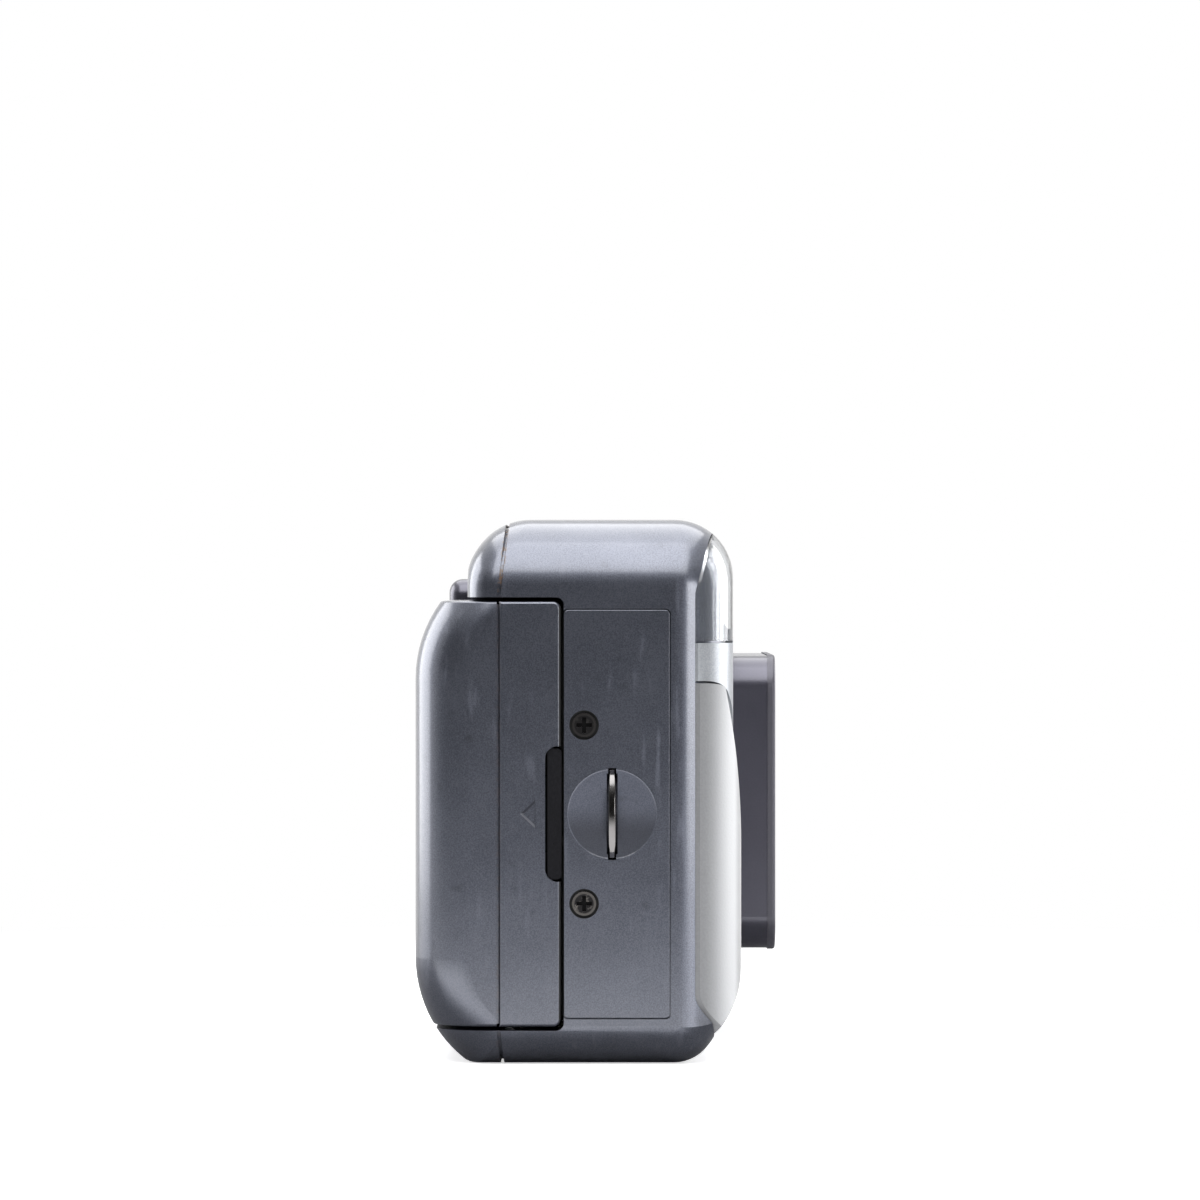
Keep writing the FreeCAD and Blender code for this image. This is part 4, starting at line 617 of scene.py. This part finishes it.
spring_steel = worked_metal("spring_steel", ink(172, 172, 170), 0.3, ALONG_SPRING)
dress(worked_metal("strap_chrome", ink(112, 110, 110), 0.1, marks=0.08), "strap_bar")
dress(worked_metal("bright_steel", ink(190, 191, 193), 0.26), "hinge_pin", "wind_motor", "battery_contacts")
dress(spring_steel, "cartridge_spring", "pressure_spring")
dress(worked_metal("plate_black", ink(44, 44, 47), 0.34, ALONG_X), "pressure_plate")
dress(worked_metal("bush_nickel", ink(196, 190, 176), 0.28, EVEN), "tripod_bush")
dress(worked_metal("pinion_brass", ink(206, 172, 92), 0.25), "motor_pinion")
dress(worked_metal("button_chrome", ink(206, 207, 210), 0.2, EVEN), "shutter_button")
dress(worked_metal("flash_mirror", ink(226, 226, 228), 0.16), "flash_reflector")


# %% [markdown]
# The screws are blackened steel. The rim and, in patches, the top are worn bright, and the lower
# side screw is drawn lighter than the upper one. The cross is painted near black, as painted shade
# in its deep recess. Its mask reads the depth behind the head, so that it follows the cross itself
# and needs no drawing.

# %% Blackened screws
SCREW_INK = ink(44, 43, 44)
SCREW_RUBBED = ink(136, 132, 128)
CROSS_SHADE_INK = ink(8, 8, 9)
SCREW_METAL = 0.85
RUB_SIZE = 0.7 * MM
RIM_START = 0.4 * MM
RIM_FULL = 0.2 * MM
CROSS_START = 0.06 * MM
CROSS_FULL = 0.2 * MM
BASE_SCREWS_TOP = 8 * MM
LOWER_SCREW_TOP = 24 * MM
SOFT_CHANGE = 2 * MM

screw_black = Finish("screw_black", Specular_IOR_Level=0.08)
height = screw_black.axis("Z")
wear_and_highlight = screw_black.blotches(RUB_SIZE, 0.5, 0.7, detail=2.0)
lower_screw = 1 - screw_black.step(height, LOWER_SCREW_TOP, LOWER_SCREW_TOP + 2 * SOFT_CHANGE)
rim = screw_black.step(from_screws(screw_black), screw_radius - RIM_START, screw_radius - RIM_FULL)
bare = screw_black.most(wear_and_highlight * (0.1 + lower_screw * 0.5), rim * (0.1 + lower_screw * 0.3))
# Painted shade: the cross is drawn near black and not metallic.
cross = screw_black.step(screw_black.axis("X") - screws_low.x, CROSS_START, CROSS_FULL)
cross = cross * screw_black.step(height, BASE_SCREWS_TOP, BASE_SCREWS_TOP + SOFT_CHANGE)
steel = screw_black.mix(SCREW_INK, SCREW_RUBBED, bare)
screw_black.set("Base Color", screw_black.mix(steel, CROSS_SHADE_INK, cross))
screw_black.set("Metallic", SCREW_METAL - cross * SCREW_METAL)
screw_black.set("Roughness", 0.32 - bare * 0.08 + cross * 0.4)
screw_black.bump(wear_and_highlight, 0.004 * MM)
dress(screw_black, "side_screws", "base_screws")


# %% [markdown]
# Glass and clear plastic are one shader with full transmission. Mixing in transparency would be
# quicker to render, but would not bend light. What tells the parts apart is tint: the lenses
# carry a thin coating that shows violet, the self-timer lamp is red, and the focusing windows
# are a red so dark that it is nearly black.

# %% Clear parts
CLEAR_INK = ink(246, 248, 248)
COATING_INK = ink(150, 110, 210)
HAZE_SIZE = 6 * MM


def clear(name, tint, roughness=0.03, index=1.5, coat=0.0, coat_tint=WHITE):
    """Clear glass or plastic, with fine wiping marks in its gloss."""
    finish = Finish(name, Transmission_Weight=1.0, IOR=index, Coat_Weight=coat, Coat_Tint=coat_tint)
    haze = finish.noise(HAZE_SIZE, 3.0)
    finish.set("Base Color", finish.mix(tint, scaled(tint, 0.93), haze))
    finish.set("Roughness", roughness + finish.step(haze, 0.5, 0.8) * 0.04)
    return finish


coated_lens = clear("coated_lens", ink(236, 240, 248), 0.01, index=1.6, coat=1.0, coat_tint=COATING_INK)
dress(clear("clear_window", CLEAR_INK), "finder_window", "eyepiece_lens", "display_window", "film_window")
dress(coated_lens, "front_lens", "rear_lens")
dress(clear("smoked_window", ink(70, 30, 34), 0.05), "focus_windows")
dress(clear("lamp_red", ink(224, 60, 40), 0.12), "timer_lamp")
dress(clear("flash_glass", ink(238, 238, 230), 0.1, index=1.47), "flash_tube")


# %% [markdown]
# The flash window is larger than the mirror behind it, and its rim hides the seat. A second piece
# of plastic could do that. Here the window itself is a little smoky past the mirror's mouth. The
# mask is how far a point lies outside the mouth, in the direction where that is most, so its
# outline is the mouth's own.

# %% The flash window
FLASH_INK = ink(240, 243, 244)
SEAT_INK = ink(226, 228, 230)
SEAT_EDGE = 0.1 * MM

flash_lens = clear("flash_lens", FLASH_INK, 0.08)
mouth_low, mouth_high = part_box("flash_reflector")
x = flash_lens.axis("X")
z = flash_lens.axis("Z")
beside = flash_lens.most(mouth_low.x - x, x - mouth_high.x)
beyond = flash_lens.most(mouth_low.z - z, z - mouth_high.z)
outside = flash_lens.step(flash_lens.most(beside, beyond), 0.0, SEAT_EDGE)
flash_lens.set("Base Color", flash_lens.mix(FLASH_INK, SEAT_INK, outside))
dress(flash_lens, "flash_window")


# %% [markdown]
# The keys and the display of the real camera carry small printed signs. A picture on the surface
# would blur close up and stay flat, so here even print has its thickness. Each stroke starts as
# a primitive at its place on the camera and is shaped in edit mode: a ring is a disc without its
# middle, a bar a stretched square, and a wedge a circle of three corners.

# %% Strokes of print
PRINT_THICK = 0.04 * MM
QUARTER_TURN = math.radians(90)


def lift(thick):
    """Edit mode: gives the flat piece its thickness, upwards."""
    bpy.ops.mesh.select_all(action="SELECT")
    bpy.ops.mesh.extrude_region_move(TRANSFORM_OT_translate={"value": (0, 0, thick)})
    bpy.ops.mesh.select_all(action="SELECT")
    bpy.ops.mesh.normals_make_consistent(inside=False)
    bpy.ops.object.mode_set(mode="OBJECT")
    return bpy.context.object


def ring(place, radius, width):
    """A flat printed ring."""
    bpy.ops.mesh.primitive_circle_add(vertices=48, radius=radius, fill_type="NGON", location=place)
    bpy.ops.object.mode_set(mode="EDIT")
    bpy.ops.mesh.inset(thickness=width)
    bpy.ops.mesh.delete(type="FACE")
    return lift(PRINT_THICK)


def bar(place, length, width, turn=0.0, point=0.0):
    """A flat printed bar along X before its turn, with its corners cut by point."""
    bpy.ops.mesh.primitive_plane_add(size=1, location=place, rotation=(0, 0, turn))
    bpy.context.object.scale = (length, width, 1)
    bpy.ops.object.transform_apply(location=False, rotation=False, scale=True)
    bpy.ops.object.mode_set(mode="EDIT")
    if point:
        bpy.ops.mesh.bevel(offset=point, affect="VERTICES")
    return lift(PRINT_THICK)


def wedge(place, length, width, turn):
    """A flat printed triangle whose tip points along X before its turn."""
    bpy.ops.mesh.primitive_circle_add(vertices=3, radius=1, fill_type="NGON", location=place,
                                      rotation=(0, 0, turn - QUARTER_TURN))
    bpy.context.object.scale = (width / math.sqrt(3), length / 1.5, 1)
    bpy.ops.object.transform_apply(location=False, rotation=False, scale=True)
    bpy.ops.object.mode_set(mode="EDIT")
    return lift(PRINT_THICK)


print("print thickness in mm:", PRINT_THICK / MM)


# %% [markdown]
# A sign is printed on one part and moves with it. Its strokes could stay single objects, but they
# would fill the list of objects, so they are joined. Place and turn are applied, so that the
# origin of the piece is the camera's, and the piece then rides on the part that carries it.

# %% From strokes to a piece
def finished(name, parts, finish, body):
    """Joins the parts into one painted piece that rides on a body."""
    bpy.ops.object.select_all(action="DESELECT")
    for part in parts:
        part.select_set(True)
    piece = parts[0]
    bpy.context.view_layer.objects.active = piece
    if len(parts) > 1:
        bpy.ops.object.join()
    bpy.ops.object.transform_apply(location=True, rotation=True, scale=True)
    piece.name = name
    piece.data.materials.clear()
    piece.data.materials.append(finish.material)
    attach(piece, body)
    bpy.ops.object.select_all(action="DESELECT")
    print(name, "rides on", body, "with", len(piece.data.polygons), "faces")


def top_of(node):
    """The middle of a part's top."""
    low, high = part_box(node)
    return Vector(((low.x + high.x) / 2, (low.y + high.y) / 2, high.z))


def aside(x, y):
    """A step over a flat top, in mm."""
    return Vector((x, y, 0)) * MM


print("height of the power key in mm:", round(top_of("power_button").z / MM, 1))


# %% [markdown]
# The marks on the keys are plain signs that every camera may use: a bolt for the flash and a
# clock for the self-timer. Two wedges that overlap make the bolt, and a ring with two bars for
# hands makes the clock.

# %% Signs on the flash and timer keys
BOLT_HALF = (0.25, -0.4)
BOLT_LENGTH = 1.5 * MM
BOLT_WIDTH = 0.75 * MM
BOLT_TURN = math.radians(75)
CLOCK_RADIUS = 1.05 * MM
CLOCK_STROKE = 0.18 * MM
HAND_WIDTH = 0.16 * MM
LONG_HAND = 0.6 * MM
SHORT_HAND = 0.5 * MM
mark_white = moulded("mark_white", ink(214, 215, 214), 0.5, spread=0.05)

flash_top = top_of("flash_button")
bolt = [
    wedge(flash_top + aside(*BOLT_HALF), BOLT_LENGTH, BOLT_WIDTH, BOLT_TURN - 2 * QUARTER_TURN),
    wedge(flash_top - aside(*BOLT_HALF), BOLT_LENGTH, BOLT_WIDTH, BOLT_TURN),
]
finished("bolt_mark", bolt, mark_white, "flash_button")

timer_top = top_of("timer_button")
clock = [
    ring(timer_top, CLOCK_RADIUS, CLOCK_STROKE),
    bar(timer_top + aside(0, 0.3), LONG_HAND, HAND_WIDTH, QUARTER_TURN),
    bar(timer_top + aside(0.2, 0), SHORT_HAND, HAND_WIDTH),
]
finished("clock_mark", clock, mark_white, "timer_button")


# %% [markdown]
# The power key has a ring with a bar, and the zoom key two wedges that point away from each
# other, the small one for wide pictures and the large one for near ones.

# %% Signs on the power and zoom keys
POWER_RADIUS = 1.3 * MM
POWER_STROKE = 0.22 * MM
POWER_BAR = 1.3 * MM
ZOOM_ASIDE = 0.9
WIDE_LENGTH = 0.8 * MM
WIDE_HEIGHT = 0.9 * MM
NEAR_LENGTH = 1.1 * MM
NEAR_HEIGHT = 1.5 * MM

power_top = top_of("power_button")
power = [
    ring(power_top, POWER_RADIUS, POWER_STROKE),
    bar(power_top + aside(0, 0.9), POWER_BAR, POWER_STROKE, QUARTER_TURN),
]
finished("power_mark", power, mark_white, "power_button")

rocker_top = top_of("zoom_rocker")
zoom = [
    wedge(rocker_top - aside(ZOOM_ASIDE, 0), WIDE_LENGTH, WIDE_HEIGHT, 2 * QUARTER_TURN),
    wedge(rocker_top + aside(ZOOM_ASIDE, 0), NEAR_LENGTH, NEAR_HEIGHT, 0.0),
]
finished("zoom_mark", zoom, mark_white, "zoom_rocker")


# %% [markdown]
# The liquid crystal display shows the frames left and a battery sign. Blender's text tool would
# give a printer's figures, while a display has bars: a digit has seven, and the table says which
# of them are on. Read from behind the camera, the display runs from +X to -X and its top is
# towards -Y.

# %% Digits of the display
LCD_BARS = {"2": "abged", "4": "fgbc"}
LCD_HEIGHT = 5.2 * MM
LCD_WIDTH = 2.6 * MM
LCD_STROKE = 0.5 * MM
LCD_POINT = 0.2 * MM
LCD_PITCH = 4.2 * MM
LCD_RAISE = 0.03 * MM
lcd_black = moulded("lcd_black", ink(34, 38, 36), 0.5, depth=0.0)
panel_top = top_of("display_panel") + Vector((0, 0, LCD_RAISE))


def digit(figure, middle):
    """The lit bars of one digit, read with +X to the left."""
    half = LCD_HEIGHT / 4
    level = {"a": -2 * half, "g": 0.0, "d": 2 * half}
    upright = {"b": (-1, -1), "c": (-1, 1), "e": (1, 1), "f": (1, -1)}
    bars = []
    for letter in LCD_BARS[figure]:
        if letter in level:
            place = middle + Vector((0, level[letter], 0))
            bars.append(bar(place, LCD_WIDTH, LCD_STROKE, 0.0, LCD_POINT))
        else:
            side, end = upright[letter]
            place = middle + Vector((side * LCD_WIDTH / 2, end * half, 0))
            bars.append(bar(place, 2 * half, LCD_STROKE, QUARTER_TURN, LCD_POINT))
    return bars


half_pitch = Vector((LCD_PITCH / 2, 0, 0))
shown = digit("2", panel_top + half_pitch) + digit("4", panel_top - half_pitch)
print("bars of the two digits:", len(shown))


# %% [markdown]
# The battery sign is a frame of four bars, a nub at the end that reads as its right, and a bar
# of charge inside. One object holds all that the display shows, because it is one print.

# %% The battery sign
CELL_ASIDE = 7.0
CELL_HALF_LENGTH = 1.6
CELL_HALF_HEIGHT = 0.9
CELL_STROKE = 0.25 * MM
CELL_LENGTH = 3.2 * MM
CELL_END = 2.05 * MM
NUB_ASIDE = 1.95
NUB_HEIGHT = 0.9 * MM
NUB_LENGTH = 0.4 * MM
CHARGE_ASIDE = 0.5
CHARGE_LENGTH = 1.6 * MM
CHARGE_HEIGHT = 1.3 * MM

cell = panel_top + aside(CELL_ASIDE, 0)
for side in (-1, 1):
    shown.append(bar(cell + aside(0, side * CELL_HALF_HEIGHT), CELL_LENGTH, CELL_STROKE))
for side in (1, -1):
    shown.append(bar(cell + aside(side * CELL_HALF_LENGTH, 0), CELL_END, CELL_STROKE, QUARTER_TURN))
shown.append(bar(cell - aside(NUB_ASIDE, 0), NUB_HEIGHT, NUB_LENGTH, QUARTER_TURN))
shown.append(bar(cell + aside(CHARGE_ASIDE, 0), CHARGE_LENGTH, CHARGE_HEIGHT))
finished("display_marks", shown, lcd_black, "body")


# %% [markdown]
# The cap of the inner barrel has ridges turned round its mouth, which keep stray light down. A
# bump would do face on, but the barrel comes forward and is seen from the side, so each ridge is
# a ring half sunk in the cap.

# %% Ridges of the lens cap
RIDGES = 4
RIDGE_FIRST = 8.4 * MM
RIDGE_PITCH = 1.15 * MM
RIDGE_ROUND = 0.16 * MM

barrel_low, barrel_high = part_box("inner_barrel")
cap_middle = Vector(((barrel_low.x + barrel_high.x) / 2, barrel_low.y, (barrel_low.z + barrel_high.z) / 2))
ridges = []
for count in range(RIDGES):
    bpy.ops.mesh.primitive_torus_add(
        location=cap_middle, rotation=(QUARTER_TURN, 0, 0), major_segments=72, minor_segments=8,
        major_radius=RIDGE_FIRST + count * RIDGE_PITCH, minor_radius=RIDGE_ROUND)
    bpy.ops.object.shade_smooth()
    ridges.append(bpy.context.object)
finished("cap_ridges", ridges, moulded("cap_black", ink(30, 31, 34), 0.3), "inner_barrel")


# %% [markdown]
# Behind the flash window stand upright lens ribs that spread the light. One rod is made, and an
# array copies it side by side until the mirror's mouth is full.

# %% Ribs of the flash
RIB_ROUND = 0.28 * MM
RIB_INSET = 1 * MM
RIB_END_GAP = 0.8 * MM
RIB_BEHIND = 1.2 * MM
rib_plastic = clear("rib_plastic", ink(244, 246, 246), 0.1)

mouth_reach = mouth_high.x - mouth_low.x - 2 * RIB_INSET
rib_height = mouth_high.z - mouth_low.z - 2 * RIB_END_GAP
first_rib = (mouth_low.x + RIB_INSET + RIB_ROUND, mouth_low.y + RIB_BEHIND, (mouth_low.z + mouth_high.z) / 2)
bpy.ops.mesh.primitive_cylinder_add(vertices=12, radius=RIB_ROUND, depth=rib_height, location=first_rib)
ribs = bpy.context.object
row = ribs.modifiers.new("row", "ARRAY")
row.count = int(mouth_reach / (2 * RIB_ROUND))
row.use_relative_offset = False
row.use_constant_offset = True
row.constant_offset_displace = (2 * RIB_ROUND, 0, 0)
bpy.ops.object.modifier_apply(modifier=row.name)
bpy.ops.object.shade_smooth()
finished("flash_ribs", [ribs], rib_plastic, "body")


# %% [markdown]
# The studio is a white tent over a sheet of white paper, open only towards the photographer,
# where the room is dark. That is what draws the body: its flat end mirrors the dark room, while
# every rounded edge picks up the tent. A tent could be built of cloth and lamps. The world does
# the same with one sum: white to the eye of the camera, white or dark by direction to a glossy
# surface, and held back as a lamp, so that a colour renders as it was mixed.

# %% The tent
SKY_AS_LAMP = 0.3
ROOM_DARKNESS = 0.94
ROOM_START = 0.05
ROOM_FULL = 0.55
OVERHEAD_START = 0.3
OVERHEAD_FULL = 0.7

sky = bpy.data.worlds.new("studio")
bpy.context.scene.world = sky
sky.use_nodes = True
tent = Recipe(sky.node_tree, "Generated")
to_room = tent.step(tent.axis("X") * -1.0, ROOM_START, ROOM_FULL)
overhead = tent.step(tent.axis("Z"), OVERHEAD_START, OVERHEAD_FULL)
mirrored = 1 - to_room * (1 - overhead) * ROOM_DARKNESS
light = tent.seen_in_gloss() * (mirrored - SKY_AS_LAMP) + SKY_AS_LAMP
backdrop = sky.node_tree.nodes["Background"]
backdrop.inputs["Color"].default_value = WHITE
tent.feed(backdrop.inputs["Strength"], tent.most(light, tent.seen_directly()))
print("the tent shines as a lamp with strength", SKY_AS_LAMP)


# %% [markdown]
# The paper is a pale sheet that keeps the camera's shadow and fades into the white of the tent.
# It lies a hair below the base. Its underside is see-through, and so is its top to light that
# leaves the base, which is that close: from below, the base can be looked at.

# %% The sheet of paper
PAPER_HALF = 0.5
PAPER_SHIFT = 0.14
PAPER_GAP = 0.03 * MM
BASE_REACH = 0.2 * MM
SHADOW_REACH = 0.11
PAPER_FADE = 0.3
PAPER_INK = ink(232, 232, 233)
PAPER_PALE = ink(240, 240, 241)
FIBRE_SIZE = 3 * MM

bpy.ops.mesh.primitive_plane_add(size=2 * PAPER_HALF, location=(0, 0, cad_low.z - PAPER_GAP))
floor = bpy.context.object
floor.name = "floor"
floor.location.x = PAPER_SHIFT
bpy.ops.object.transform_apply(location=True)
paper = Finish("floor_paper", Roughness=0.9, Specular_IOR_Level=0.0)
from_middle = paper.node("VectorMath", {"operation": "LENGTH"}, {0: paper.place}, output="Value")
far_off = paper.step(from_middle, SHADOW_REACH, PAPER_FADE)
near_tone = paper.mix(PAPER_INK, PAPER_PALE, paper.noise(FIBRE_SIZE, 3.0))
past_base = paper.step(paper.node("LightPath", output="Ray Length"), BASE_REACH, BASE_REACH + PAPER_GAP)
paper.set("Alpha", (1 - paper.node("NewGeometry", output="Backfacing")) * past_base)
floor.data.materials.append(paper.material)
print("paper in m:", 2 * PAPER_HALF)


# %% [markdown]
# The paper also draws the lower half of the flat end, which mirrors it: dark where the camera's
# own shadow lies, then bright, then dimmer towards the room. Seen straight it only glows enough
# to be white. Both are light of its own in the material, so that no lamp has to do it and wash
# out the shadow.

# %% What the paper shows to the eye and to gloss
FLOOR_GLOW = 0.56
DARK_STRIP = 4 * MM
BRIGHT_STRIP = 28 * MM
STRIP_GLOW = 1.4
UNDER_BODY = ink(120, 120, 122)
ROOM_FLOOR = 300 * MM
ROOM_FLOOR_GLOW = 0.45

beyond_end = cad_low.x - paper.axis("X")
strip = paper.step(beyond_end, DARK_STRIP, BRIGHT_STRIP)
near_tone = paper.mix(near_tone, UNDER_BODY, paper.seen_in_gloss() * (1 - strip))
paper.set("Base Color", paper.mix(near_tone, BLACK, far_off))
toward_room = paper.step(beyond_end, BRIGHT_STRIP, ROOM_FLOOR)
in_gloss = paper.most(strip * STRIP_GLOW, far_off) * (1 - toward_room * (1 - ROOM_FLOOR_GLOW))
to_the_eye = paper.seen_directly() * (far_off * (1 - FLOOR_GLOW) + FLOOR_GLOW)
glow = paper.most(to_the_eye, paper.seen_in_gloss() * in_gloss)
paper.set("Emission Color", paper.mix(BLACK, WHITE, glow))
paper.set("Emission Strength", 1.0)
print("paper glow to the eye:", FLOOR_GLOW, "in gloss:", STRIP_GLOW)


# %% [markdown]
# Five soft lamps light the body itself. Small hard lamps would leave sharp spots on the lacquer,
# so all are squares wider than the camera that look at its middle. Two hang above, one stands in
# front and one behind, and the smallest, at the corner, lifts the rim.

# %% The lamps
MIDDLE = Vector((0, 0, 35 * MM))


def softbox(name, place, width, power):
    """A square soft lamp of width metres that looks at the middle of the camera."""
    lamp = bpy.data.lights.new(name, "AREA")
    lamp.size = width
    lamp.energy = power
    stand = bpy.data.objects.new(name, lamp)
    bpy.context.scene.collection.objects.link(stand)
    stand.location = place
    stand.rotation_euler = (MIDDLE - Vector(place)).to_track_quat("-Z", "Y").to_euler()
    print(name, power, "W")


softbox("key_softbox", (-0.4, 0, 0.57), 0.62, 4.8)
softbox("back_softbox", (0.16, 0, 0.62), 0.68, 4.2)
softbox("front_softbox", (0.22, -0.72, 0.26), 0.6, 5.2)
softbox("corner_softbox", (-0.6, -0.36, 0.1), 0.2, 1.0)
softbox("rear_softbox", (0.25, 0.7, 0.24), 0.6, 4.6)


# %% [markdown]
# Pictures can be given a film look after rendering. Here colours should come out as they were
# mixed, so the view stays plain. Nothing added here may reach past the construction model.

# %% A plain view
bpy.context.scene.view_settings.view_transform = "Standard"
